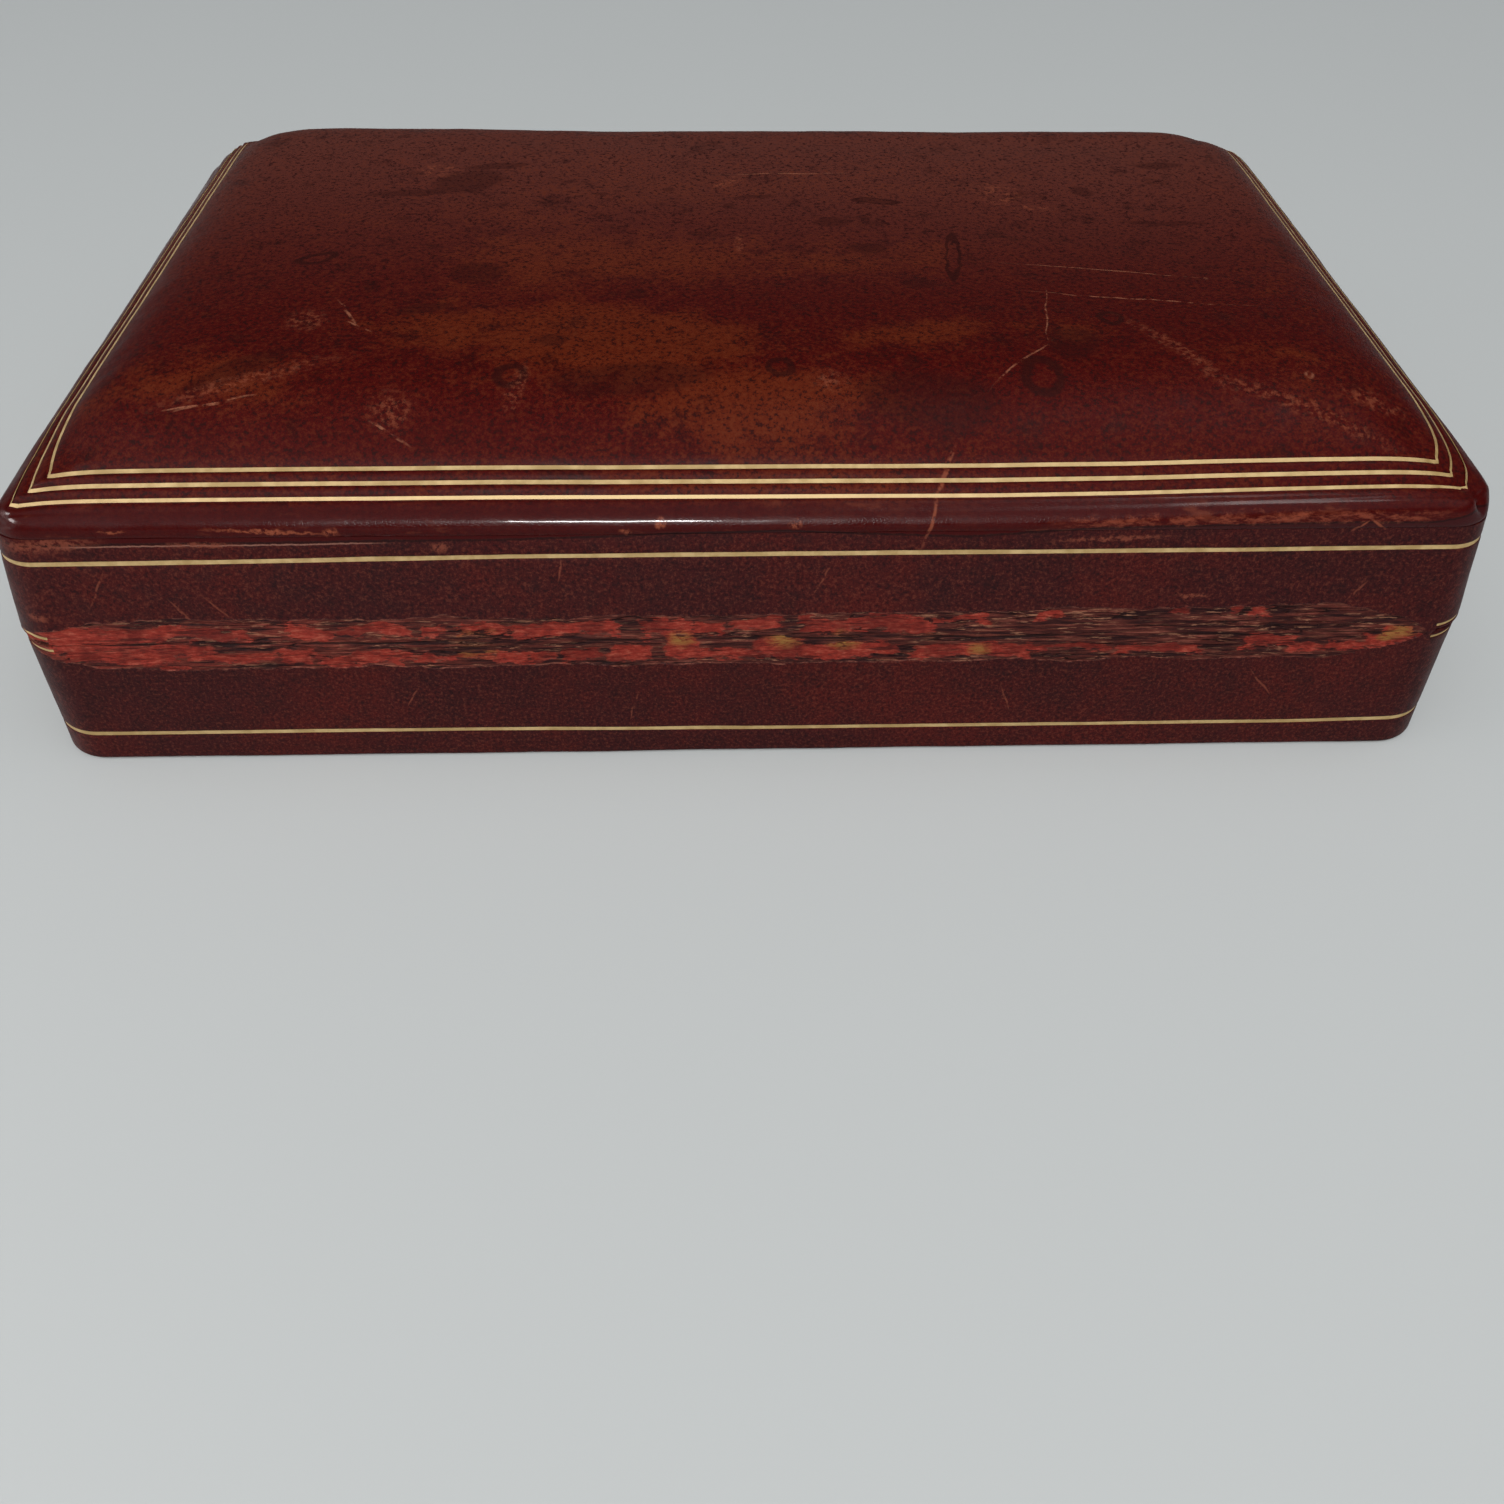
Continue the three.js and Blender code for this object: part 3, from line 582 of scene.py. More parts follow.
satinLook = {
    "thread": (0.55, 0.4, 0.2),
    "shade": (0.4, 0.27, 0.12),
    "threadMm": 0.35,
    "roughness": 0.42,
    "sheen": 0.3,
}
cottonLook = {
    "thread": (0.11, 0.014, 0.014),
    "shade": (0.06, 0.008, 0.01),
    "threadMm": 0.5,
    "roughness": 0.85,
    "sheen": 0.1,
}


# Cloth whose threads run along two of the piece's axes.
def wovenMaterial(name, look):
    material, tree, shader = newMaterial(name)
    place = objectPlace(tree)
    axes = alongAxes(tree, place)
    turns = 2 * math.pi / (look["threadMm"] * mm)
    ripples = [calc(tree, "SINE", times(tree, axis, turns)) for axis in axes]
    level = times(tree, ripples[0], ripples[1])
    weave = plus(tree, level, times(tree, ripples[2], plus(tree, ripples[0], ripples[1])))
    dirt = cloud(tree, place, 18, 4.0, 0.6)
    tone = layOver(tree, look["thread"], look["shade"], weave, -1.0, 1.0, 0.0, 0.25)
    tone = layOver(tree, tone, look["shade"], dirt, 0.45, 0.75, 0.0, 0.4)
    rough = remap(tree, dirt, 0.3, 0.7, look["roughness"] - 0.05, look["roughness"] + 0.08)
    dress(tree, shader, tone, rough, bumpFrom(tree, weave, 0.03, 0.5))
    shader.inputs["Sheen Weight"].default_value = look["sheen"]
    return material


waddingLook = {"hollow": (0.62, 0.57, 0.47), "tuft": (0.82, 0.79, 0.7), "roughness": 0.95}
skiverLook = {"dark": (0.06, 0.02, 0.014), "pale": (0.11, 0.045, 0.03), "grainMm": 0.6, "roughness": 0.8}


def waddingMaterial(look):
    material, tree, shader = newMaterial("wadding")
    fluff = cloud(tree, objectPlace(tree), 2.0, 5.0, 0.7)
    # painted shade: the hollows of the fluff, which the bump also sinks, are darker and its tufts paler
    tone = layOver(tree, look["hollow"], look["tuft"], fluff, 0.35, 0.7)
    dress(tree, shader, tone, look["roughness"], bumpFrom(tree, fluff, 0.4, 0.8))
    return material


def undersideMaterial(look):
    material, tree, shader = newMaterial("undersideSkiver")
    place = objectPlace(tree)
    tone = layOver(tree, look["dark"], look["pale"], cloud(tree, place, 14, 5.0, 0.65), 0.4, 0.65)
    relief = bumpFrom(tree, leatherGrain(tree, place, look["grainMm"]), 0.04, 0.6)
    dress(tree, shader, tone, look["roughness"], relief)
    return material


topLeather = topLeatherMaterial(topLeatherLook)
wallLeather = wallLeatherMaterial(wallLeatherLook)
giltFoil = giltMaterial(giltLook)
bareWood = woodMaterial(woodLook)
satin = wovenMaterial("liningSatin", satinLook)
jointCotton = wovenMaterial("jointCotton", cottonLook)
wadding = waddingMaterial(waddingLook)
skiver = undersideMaterial(skiverLook)

print("stage: outlines shared by the leather and the gilt")

shell = {
    "cornerRadius": 9.0,
    "cornerSteps": 10,  # points along each half corner
    "sideSteps": (156, 98),  # along the long and the short sides
    "leather": 1.2,
    "pared": 0.8,  # where it is turned in
    "turnIn": 12.0,
    "rimRound": 0.55,
    "footRound": 0.5,
    "grooveDepth": 0.28,
    "giltWidth": 0.9,
    "rimLineWidth": 0.6,
    "unevenMm": 0.14,  # how far handwork strays from true
    "handwork": [(26, 1, 1), (9, 0.5, 2), (3.2, 0.18, 3)],  # mm across, share, seed
    "wallRowMm": 1.5,
    "tornRowMm": 0.35,
    "grooveSlope": 0.1,
}

lidWallLow, lidWallHigh = boxMm("lid_wall_leather")
baseWallLow, baseWallHigh = boxMm("base_wall_leather")
topLow, topHigh = boxMm("lid_top_leather")
lidHalf, baseHalf = lidWallHigh[:2], baseWallHigh[:2]


def openingHalf(part):
    left, front = boxMm(part + "_lining_left"), boxMm(part + "_lining_front")
    return np.array([-left[0][0], front[1][1]]) + 0.1


# Places along a side from corner to corner, set closer where the corners are rounded.
def stations(size, steps, zone=shell["cornerRadius"]):
    corner = size - zone * (1 - np.tan(np.linspace(math.pi / 4, 0, shell["cornerSteps"] + 1)))
    middle = np.linspace(-corner[-1], corner[-1], steps + 1)[1:-1]
    return np.concatenate([-corner, middle, corner[::-1]])


# Rounds the corners of points on a rectangle, and gives each point's way straight out of it.
def roundCorners(points, out, size, radius):
    square = np.all(np.abs(np.abs(points) - size) < 1e-6, axis=1)
    out[square] = np.sign(points[square]) / math.sqrt(2)
    if radius > 0:
        past = np.abs(points) - (size - radius)
        turn = np.all(past > 1e-9, axis=1)
        away = np.sign(points[turn]) * past[turn]
        away /= np.linalg.norm(away, axis=1, keepdims=True)
        points[turn] = np.sign(points[turn]) * (size - radius) + away * radius
        out[turn] = away
    return points, out


# One loop round a rectangle, from its right side on by the front, the left and the back.
def outline(size, radius, steps=shell["sideSteps"], zone=shell["cornerRadius"]):
    size = np.asarray(size, float)
    xs, ys = (stations(size[i], steps[i], zone) for i in (0, 1))
    sides = [
        (np.full(len(ys) - 1, size[0]), ys[:-1], (1.0, 0)),
        (xs[:0:-1], np.full(len(xs) - 1, size[1]), (0, 1.0)),
        (np.full(len(ys) - 1, -size[0]), ys[:0:-1], (-1.0, 0)),
        (xs[:-1], np.full(len(xs) - 1, -size[1]), (0, -1.0)),
    ]
    points = np.vstack([np.column_stack([x, y]) for x, y, way in sides])
    ways = np.vstack([np.tile(way, (len(x), 1)) for x, y, way in sides])
    return roundCorners(points, ways, size, radius)


def uneven(points, sizeMm, seed):
    shift = Vector((seed * 17.3, seed * -9.1, seed * 5.7))
    return np.array([noise.noise(Vector(p) / sizeMm + shift) for p in points])


# Waves of several sizes on top of each other.
def waves(points, sizes):
    return sum(uneven(points, sizeMm, seed) * share for sizeMm, share, seed in sizes)


# How far hand-drawn leather stands off its true surface.
def handwork(points):
    return shell["unevenMm"] * waves(points, shell["handwork"])


def atHeight(flat, z):
    return np.column_stack([flat, np.full(len(flat), z)])


# How far each line round the walls strays from level along the back, in mm: height, then x and rise.
strayLines = [
    (boxMm("lid_gilt_line"), [(-127, -0.85), (-100, -0.75), (-58, -0.3), (-40, 0), (80, 0), (107, 0.15)]),
    (boxMm("base_gilt_line"), [(-112, 0.4), (-50, 0.45), (-20, 0.1), (0, -0.1), (100, -0.1), (118, 0.3)]),
]
strayReach = 3.0  # mm above and below a line that stray with it


def strayed(points):
    moved = points.copy()
    for (low, high), course in strayLines:
        middle = (low[2] + high[2]) / 2
        rise = np.interp(points[:, 0], *zip(*course))
        atBack = np.clip(-points[:, 1] / high[1], 0, 1)
        near = np.clip(1 - ((points[:, 2] - middle) / strayReach) ** 2, 0, 1)
        moved[:, 2] += rise * atBack * near
    return moved


# One loop of a piece's surface. The section gives the way out and up in which it swells.
def ring(size, z, radius, way, lift=0.0, worn=False):
    flat, out = outline(size, radius)
    points = atHeight(flat, z)
    push = np.column_stack([out * way[0], np.full(len(flat), way[1])])
    swell = handwork(points) + lift
    if worn:
        swell = swell - wearDepth(wearAt(points))
        points = strayed(points)
    return points + push * swell[:, None]


def sectionWays(rows):
    insets, heights = np.array([row[0] for row in rows]), np.array([row[1] for row in rows])
    inward, upward = np.gradient(insets), np.gradient(heights)
    length = np.maximum(np.hypot(inward, upward), 1e-9)
    return np.column_stack([upward / length, inward / length])


def buildMesh(name, points, faces, material, values=None, sharpDegrees=48):
    mesh = bpy.data.meshes.new(name)
    mesh.from_pydata((np.asarray(points) * mm).tolist(), [], faces)
    mesh.shade_smooth()
    mesh.set_sharp_from_angle(angle=math.radians(sharpDegrees))
    mesh.materials.append(material)
    for key, data in (values or {}).items():
        mesh.attributes.new(key, "FLOAT", "POINT").data.foreach_set("value", np.asarray(data, np.float32))
    return addObject(name, mesh)


def handOver(piece, body, slot, *replaced):
    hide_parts(*replaced)
    if body:  # a blended piece rides on none
        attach(piece, body)


print("stage: wear along the joint")

jointWear = {
    "lowEdge": 20.9,  # heights of the torn band, in mm
    "highEdge": 31.1,
    "rightHighEdge": 32.0,
    "foldZ": 26.1,
    "leftEnd": -126.0,
    "rightEnd": 118.5,
    "tapers": (16.0, 17.0),  # over which the band narrows to its ends
    "within": (18.0, 34.5),  # heights outside which nothing is worn
    "behind": -70.0,
    "foldWidth": 0.28,
    "crackWidth": 0.16,
    "hollow": 0.1,  # depth lost with the grain
    "bareHollow": 0.14,
    "crackDepth": 0.4,
}

# Bare patches where the grain has gone, in mm: from x, to x, middle height, half height.
barePatches = [
    (-124, -85.4, 28.3, 1.15),
    (-120, -107, 26.0, 1.6),
    (-118, -99, 23.9, 1.5),
    (-112, -92, 24.6, 1.4),
    (-97, -82, 23.4, 0.9),
    (-106, -98, 20.2, 0.55),
    (-79, -68, 28.6, 0.9),
    (-68, -58, 28.6, 0.8),
    (-56.5, -53.5, 28.7, 1.1),
    (-49.5, -42, 28.7, 0.9),
    (-41, -23, 28.7, 1.2),
    (-18.5, -10, 28.6, 1.5),
    (-10, -5, 28.7, 1.0),
    (-3.5, 5, 29.4, 1.0),
    (9, 31.5, 28.9, 1.25),
    (31, 40, 29.5, 0.5),
    (50, 53, 30.6, 0.5),
    (-81, -77, 23.2, 1.1),
    (-74.5, -68.5, 22.3, 1.1),
    (-68.5, -61, 22.7, 1.3),
    (-60.5, -55, 23.1, 1.0),
    (-55, -45.5, 23.1, 0.35),
    (-43.5, -38.7, 22.8, 1.0),
    (-38.5, -33.5, 22.9, 0.7),
    (-33, -27, 22.9, 1.3),
    (-24, -17.5, 23.7, 1.7),
    (-14.4, -9, 24.2, 2.4),
    (-9, 1, 23.2, 0.6),
    (1.3, 8.3, 24.0, 2.2),
    (8, 25.5, 23.3, 1.4),
    (28.5, 48.7, 23.2, 1.3),
    (48, 63, 23.6, 0.45),
    (64.5, 79, 23.1, 0.9),
    (72.5, 75, 31.2, 0.9),
    (82.5, 85, 31.3, 0.6),
    (86.5, 89, 30.6, 0.8),
    (87, 95.5, 24.2, 1.1),
    (95, 109, 23.2, 0.5),
    (108, 117.5, 24.0, 1.4),
    (111.5, 115, 26.3, 1.0),
]
# Tan places, in mm: x, height, reach.
tanPlaces = [
    (-48, 25.6, 2.6),
    (-11.7, 26.2, 1.6),
    (5.6, 26.0, 1.8),
    (16, 25.6, 1.8),
    (31, 25.9, 1.0),
    (40, 23.4, 1.2),
    (114, 26.3, 1.5),
    (111.5, 25.2, 1.0),
]


# Values at points of the back: inside the torn zone, on bare flesh, in a crack, on tan.
def wearAt(points):
    x, z = points[:, 0], points[:, 2]
    lowest, highest = jointWear["within"]
    worn = (points[:, 1] < jointWear["behind"]) & (z > lowest) & (z < highest)
    zone, flesh = np.full(len(x), -5.0), np.full(len(x), -5.0)
    crack, tan = np.zeros(len(x)), np.zeros(len(x))
    if worn.any():
        zone[worn], flesh[worn], crack[worn], tan[worn] = tornValues(x[worn], z[worn])
    return {"zone": zone, "flesh": flesh, "crack": crack, "tan": tan}


def tornValues(x, z):
    w = jointWear
    flat = np.column_stack([x, np.zeros_like(x), z])
    slow = uneven(flat * (1, 1, 0.2), 11, 11)
    quick = uneven(flat * (1, 1, 0.3), 2.6, 12)
    fromLeft, fromRight = (x - w["leftEnd"]) / w["tapers"][0], (w["rightEnd"] - x) / w["tapers"][1]
    taper = np.sqrt(np.clip(fromLeft, 0, 1) * np.clip(fromRight, 0, 1))
    high = w["highEdge"] + (w["rightHighEdge"] - w["highEdge"]) * np.clip((x - 20) / 60, 0, 1)
    high = w["foldZ"] + (high - w["foldZ"]) * taper
    low = w["foldZ"] + (w["lowEdge"] - w["foldZ"]) * taper
    zone = np.minimum(high - z, z - low) + slow * 0.7 + quick * 0.45
    bare = np.full(len(x), -9.0)
    wave = 0.35 * np.sin(x / 2.7)
    for fromX, toX, middle, half in barePatches:
        along = (toX - fromX) / 2 - np.abs(x - (fromX + toX) / 2)
        bare = np.maximum(bare, np.minimum(along * 0.6, half - np.abs(z - middle - wave)))
    jag = uneven(flat * (0.35, 1, 1), 0.9, 13) * 0.55 + quick * 0.35
    bare = bare + jag
    lines = uneven(flat * (0.045, 1, 0.95), 0.62, 14) + 0.45 * uneven(flat * (0.16, 1, 1.2), 0.5, 15)
    broken = np.clip(uneven(flat * (0.12, 1, 1), 1.2, 16) * 2 + 0.55, 0, 1)
    crack = np.clip(1 - np.abs(lines) / w["crackWidth"], 0, 1) * broken * np.where(bare > 0.1, 0.35, 1)
    fold = 0.9 * np.exp(-(((z - w["foldZ"] - 0.25 * slow) / w["foldWidth"]) ** 2))
    crack = np.maximum(crack, fold * np.clip(0.6 + uneven(flat * (0.2, 1, 1), 2, 17) * 2, 0, 1))
    tan = np.zeros(len(x))
    for middleX, middleZ, reach in tanPlaces:
        away = np.hypot((x - middleX) / 1.6, z - middleZ) / reach
        tan = np.maximum(tan, np.clip(1.3 - away + jag * 0.6, 0, 1))
    inside = np.clip(zone / 0.15, 0, 1)
    return zone, bare, crack * inside, tan * inside


def wearDepth(wear):
    inside, bare = np.clip(wear["zone"] / 0.2, 0, 1), np.clip(wear["flesh"] / 0.2, 0, 1)
    w = jointWear
    return inside * (w["hollow"] + w["bareHollow"] * bare + w["crackDepth"] * wear["crack"])


# The top leather's lower edge is pasted over the wall leather: x and its height along the back, in mm.
seamCourse = [
    (-117, 45.8),
    (-41, 46.2),
    (-25, 46.6),
    (-8, 47.2),
    (5, 47.5),
    (18, 46.7),
    (36, 46.0),
    (48, 46.8),
    (57, 47.5),
    (97, 48.2),
    (114, 48.1),
    (120, 49.5),
]


looseSeam = {"height": 47.1, "wave": 1.6, "waveLength": 24}  # along the other three sides


# Heights in mm above that edge.
def overSeam(points):
    x, y, z = points.T
    drawn = np.interp(x, *zip(*seamCourse))
    loose = looseSeam["height"] + looseSeam["wave"] * uneven(points * (1, 1, 0), looseSeam["waveLength"], 8)
    atBack = rampUp(-y, topHigh[1] - 8, topHigh[1] - 1)
    return z - (loose + (drawn - loose) * atBack)


print("stage: leather over the lid")

lidPanel = {
    "noseSetback": 1.85,
    "noseWidth": 2.05,
    "noseHeight": 3.95,
    "cornerRadius": 12.0,
    "turnIn": 9.0,
    "firstLine": 5.7,
    "linePitch": 2.15,
    "lineCount": 3,
    "firstLineHeight": 5.1,
    "marginRise": 3.5,
    "marginPower": 0.75,
    "cushionRise": 7.8,
    "cushionShoulder": 40.0,
    "shoulderPower": 5.0,
    "ribPuff": 0.3,  # how far leather swells between the tooled lines
    "swell": 0.45,  # slow swells of the old padding
    "swells": [(42, 1, 5), (15, 0.36, 6), (6, 0.1, 7)],  # mm across, share, seed
    "cornerRidge": 0.3,
    "ridgeWidth": 3.0,
    "ridgeLength": 34.0,
}
panelZ = topLow[2]
noseEnd = lidPanel["noseSetback"] + lidPanel["noseWidth"]
lineInsets = [lidPanel["firstLine"] + i * lidPanel["linePitch"] for i in range(lidPanel["lineCount"])]
cushionInset = lineInsets[-1] + shell["giltWidth"] / 2
cushionHalf = lidHalf - cushionInset


def marginHeight(inset):
    p = lidPanel
    share = (inset - noseEnd) / (p["firstLine"] - noseEnd)
    if share <= 1:
        return p["noseHeight"] + share * (p["firstLineHeight"] - p["noseHeight"])
    share = (inset - p["firstLine"]) / (lineInsets[-1] - p["firstLine"])
    return p["firstLineHeight"] + p["marginRise"] * share ** p["marginPower"]


def panelCorner(inset):
    squareFrom = lidPanel["firstLine"] - shell["giltWidth"] / 2
    return lidPanel["cornerRadius"] * max(1 - inset / squareFrom, 0)


def shoulder(distance):
    share = np.clip(distance / lidPanel["cushionShoulder"], 0, 1)
    return 1 - (1 - share) ** lidPanel["shoulderPower"]


def cushionHeight(x, y):
    across, deep = cushionHalf[0] - np.abs(x), cushionHalf[1] - np.abs(y)
    return marginHeight(cushionInset) + lidPanel["cushionRise"] * shoulder(across) * shoulder(deep)


# Slow swells and hollows of the padding, and the slight ridge that runs in from each corner.
def cushionSwell(x, y):
    p = lidPanel
    flat = np.column_stack([x, y, np.zeros_like(x)])
    across, deep = cushionHalf[0] - np.abs(x), cushionHalf[1] - np.abs(y)
    firm = np.clip(np.minimum(across, deep) / 10, 0, 1)
    ridge = np.exp(-(((across - deep) / p["ridgeWidth"]) ** 2)) * np.clip(deep / 8, 0, 1)
    ridge = ridge * np.clip(1 - deep / p["ridgeLength"], 0, 1)
    return (p["swell"] * waves(flat, p["swells"]) + p["cornerRidge"] * ridge) * firm


# How the old panel has settled: its corners have sunk and drawn in, it lies a little to the
# right and narrows to the front, its back edge sags and its padding has slumped.
settling = {
    "cornerSink": (0.9, 1.6),  # mm, at the left and at the right
    "sinkReach": 5.2,
    "cornerDraw": (-0.2, 1.0),
    "drawReach": 3.6,
    "tuck": ([0.45, 1.0, 1.8], [1.2, 1.2, 1.2]),  # the back corners are pushed in along the box, by line
    "tuckReach": 6.0,
    "marginFade": 9.0,  # how far these reach into the cushion
    "endRise": 0.6,  # how far the outermost line stands higher at both ends
    "endFlatness": 0.8,  # share by which ribs and grooves have worn flatter there
    "backDrop": [(2.0, 0), (5.7, 0.38), (7.85, 0.85), (14, 0.8), (30, 0)],  # inset, then drop
    "slump": [
        *[(-127, 0.2), (-72, 0.8), (-41, 1.8), (-9, 2.5), (23, 3.1)],
        *[(55, 3.7), (87, 3.9), (110, 1.8), (127, 0.4)],
    ],
    "slumpDepth": (-55, 25),  # from the back to the front, where it sets in and is full
    "slumpInset": (9, 30),
    "slide": (0.7, 1.3),  # at the back and at the front
    "narrowing": (0.2, 1.1),
    "backSag": [
        *[(-127, 0), (-40, 0), (0, -0.33), (40, -0.55)],
        *[(61, -0.22), (76, 0.3), (107, 1.3), (127, 1.6)],
    ],
    "sagReach": 14.0,
}


def rampUp(values, low, high):
    share = np.clip((values - low) / (high - low), 0, 1)
    return share * share * (3 - 2 * share)


# 1 on the margin's two ends and 0 on its long sides.
def endShare(points):
    fromEnd, fromSide = (lidHalf[i] - np.abs(points[:, i]) for i in (0, 1))
    return rampUp(fromSide - fromEnd, -1.5, 2.5)


def settled(points):
    w = settling
    x, y, z = points.T
    fromEnd, fromSide = lidHalf[0] - np.abs(x), lidHalf[1] - np.abs(y)
    inset, fromMitre = np.minimum(fromEnd, fromSide), np.sqrt((fromEnd - fromSide) ** 2 + 1) - 1
    high = rampUp(z, panelZ + 0.1, panelZ + 2.6)
    margin = np.exp(-np.clip(inset - lineInsets[-1], 0, None) / w["marginFade"]) * high

    def pinched(amount, reach):
        return amount * np.exp(-fromMitre / w[reach]) * margin

    sink = pinched(np.where(x < 0, *w["cornerSink"]), "sinkReach")
    sink = sink * rampUp(inset, lidPanel["noseSetback"] - 0.5, lineInsets[0] - 0.5)
    draw = pinched(np.where(x < 0, *w["cornerDraw"]), "drawReach")
    tuck = np.where(x < 0, *(np.interp(inset, lineInsets, side) for side in w["tuck"]))
    tuck = pinched(tuck, "tuckReach") * (y < 0)
    knots = [lidPanel["noseSetback"], lineInsets[0], lineInsets[1]]
    sink = sink - w["endRise"] * np.interp(inset, knots, [0.2, 1, 0]) * endShare(points) * high
    backDrop = np.interp(np.clip(y + lidHalf[1], 0, None), *zip(*w["backDrop"]))
    sink = sink + backDrop * high * rampUp(fromEnd, 0, 9)
    slump = np.interp(x, *zip(*w["slump"]))
    sink = sink + slump * rampUp(y, *w["slumpDepth"]) * rampUp(inset, *w["slumpInset"])
    deep = (y + lidHalf[1]) / (2 * lidHalf[1])
    slide, narrow = (back + (front - back) * deep for back, front in (w["slide"], w["narrowing"]))
    sag = np.interp(x, *zip(*w["backSag"])) * np.exp(-(y + lidHalf[1]) / w["sagReach"])
    moved = points.copy()
    moved[:, 0] += high * (slide - narrow * x / lidHalf[0]) - np.sign(x) * (draw + tuck)
    moved[:, 1] -= np.sign(y) * draw
    moved[:, 2] += high * sag - sink
    return moved


# A smooth curve through the given points.
def smoothThrough(knots, steps):
    knots = [np.array(knot, float) for knot in knots]
    ends = [2 * knots[0] - knots[1], *knots, 2 * knots[-1] - knots[-2]]
    curve = []
    for a, b, c, d in zip(ends, ends[1:], ends[2:], ends[3:]):
        for t in np.arange(steps) / steps:
            cubic = (3 * b - a - 3 * c + d) * t**3
            curve.append(0.5 * (2 * b + (c - a) * t + (2 * a - 5 * b + 4 * c - d) * t**2 + cubic))
    return [*curve, knots[-1]]


# The rounded nose, as shares of its width and height.
noseShares = [(0.07, -0.03), (0.0, 0.1), (-0.01, 0.28), (0.07, 0.46), (0.28, 0.68), (0.62, 0.87), (1.0, 1.0)]


def grooveRows(line, height):
    half, slope = shell["giltWidth"] / 2, shell["grooveSlope"]
    places = [(-half, 0.15), (slope - half, 1), (0, 1.05), (half - slope, 1), (half, 0.15)]
    return [(line + at, height(line + at) - share * shell["grooveDepth"]) for at, share in places]


def topSection():
    p = lidPanel
    rows = [(p["noseSetback"] + p["turnIn"], 0.0)]
    for across, up in smoothThrough(noseShares, 4):
        rows.append((p["noseSetback"] + across * p["noseWidth"], up * p["noseHeight"]))
    start = noseEnd
    for line in lineInsets:
        edge = line - shell["giltWidth"] / 2
        puff = p["ribPuff"] * (0.4 if line == lineInsets[0] else 1)
        for share in (0.2, 0.4, 0.6, 0.8, 0.93):
            at = start + (edge - start) * share
            rows.append((at, marginHeight(at) + puff * math.sin(math.pi * share) ** 0.8))
        rows += grooveRows(line, marginHeight)
        start = line + shell["giltWidth"] / 2
    return rows


def cushionGrid(drop):
    xs, ys = (stations(cushionHalf[i], shell["sideSteps"][i]) for i in (0, 1))
    gx, gy = (side.ravel() for side in np.meshgrid(xs, ys, indexing="ij"))
    near = 0.05
    slopeX = (cushionHeight(gx + near, gy) - cushionHeight(gx - near, gy)) / (2 * near)
    slopeY = (cushionHeight(gx, gy + near) - cushionHeight(gx, gy - near)) / (2 * near)
    way = np.column_stack([-slopeX, -slopeY, np.ones_like(gx)])
    way /= np.linalg.norm(way, axis=1, keepdims=True)
    points = np.column_stack([gx, gy, panelZ + cushionHeight(gx, gy)])
    lift = handwork(points) + cushionSwell(gx, gy) - drop
    return points + way * lift[:, None], len(xs), len(ys)


# Fills a loop with the inside points of a grid. Returns those points and the faces.
def fillLoop(loopStart, grid, across, deep, firstNew, facingUp):
    order = [(across - 1, j) for j in range(deep - 1)] + [(i, deep - 1) for i in range(across - 1, 0, -1)]
    order += [(0, j) for j in range(deep - 1, 0, -1)] + [(i, 0) for i in range(across - 1)]
    index = np.zeros((across, deep), int)
    for k, place in enumerate(order):
        index[place] = loopStart + k
    inside = [(i, j) for i in range(1, across - 1) for j in range(1, deep - 1)]
    for k, place in enumerate(inside):
        index[place] = firstNew + k
    faces = []
    for i in range(across - 1):
        for j in range(deep - 1):
            face = [int(index[p]) for p in ((i, j), (i + 1, j), (i + 1, j + 1), (i, j + 1))]
            faces.append(face if facingUp else face[::-1])
    return np.array([grid[i * deep + j] for i, j in inside]), faces


def stackFaces(first, rows, count, outward=True):
    faces = []
    for r in range(rows - 1):
        low, high = first + r * count, first + (r + 1) * count
        for k in range(count):
            n = (k + 1) % count
            face = [low + k, low + n, high + n, high + k]
            faces.append(face if outward else face[::-1])
    return faces


# Closes a stack of loops with a grid on its top and one below.
def closedStack(loops, top, under, across, deep):
    count, used = len(loops[0]), len(loops) * len(loops[0])
    upper, topFaces = fillLoop(used - count, top, across, deep, used, True)
    lower, underFaces = fillLoop(0, under, across, deep, used + len(upper), False)
    faces = stackFaces(0, len(loops), count) + topFaces + underFaces
    return np.vstack([*loops, upper, lower]), faces


# Warm brown patches of the top, in mm: middle x, y, reach in x, reach in y, strength.
warmPlaces = [
    (-25, -46, 26, 13, 1.0),
    (-2, -62, 22, 8, 0.8),
    (-52, -42, 20, 10, 0.7),
    (32, -43, 15, 8, 0.6),
    (57, -42, 12, 6, 0.5),
    (-20, -9, 40, 14, 0.6),
    (-45, 15, 30, 14, 0.4),
    (17, -9, 30, 12, 0.5),
    (-8, 31, 50, 16, 0.5),
    (84, -50, 14, 5, 0.4),
    (-88, -56, 16, 7, 0.4),
    (0, -76, 90, 4, 0.35),
]


def warmthAt(points):
    warmth = np.zeros(len(points))
    for x, y, reachX, reachY, strength in warmPlaces:
        away = ((points[:, 0] - x) / reachX) ** 2 + ((points[:, 1] - y) / reachY) ** 2
        warmth = np.maximum(warmth, strength * np.exp(-away))
    return warmth


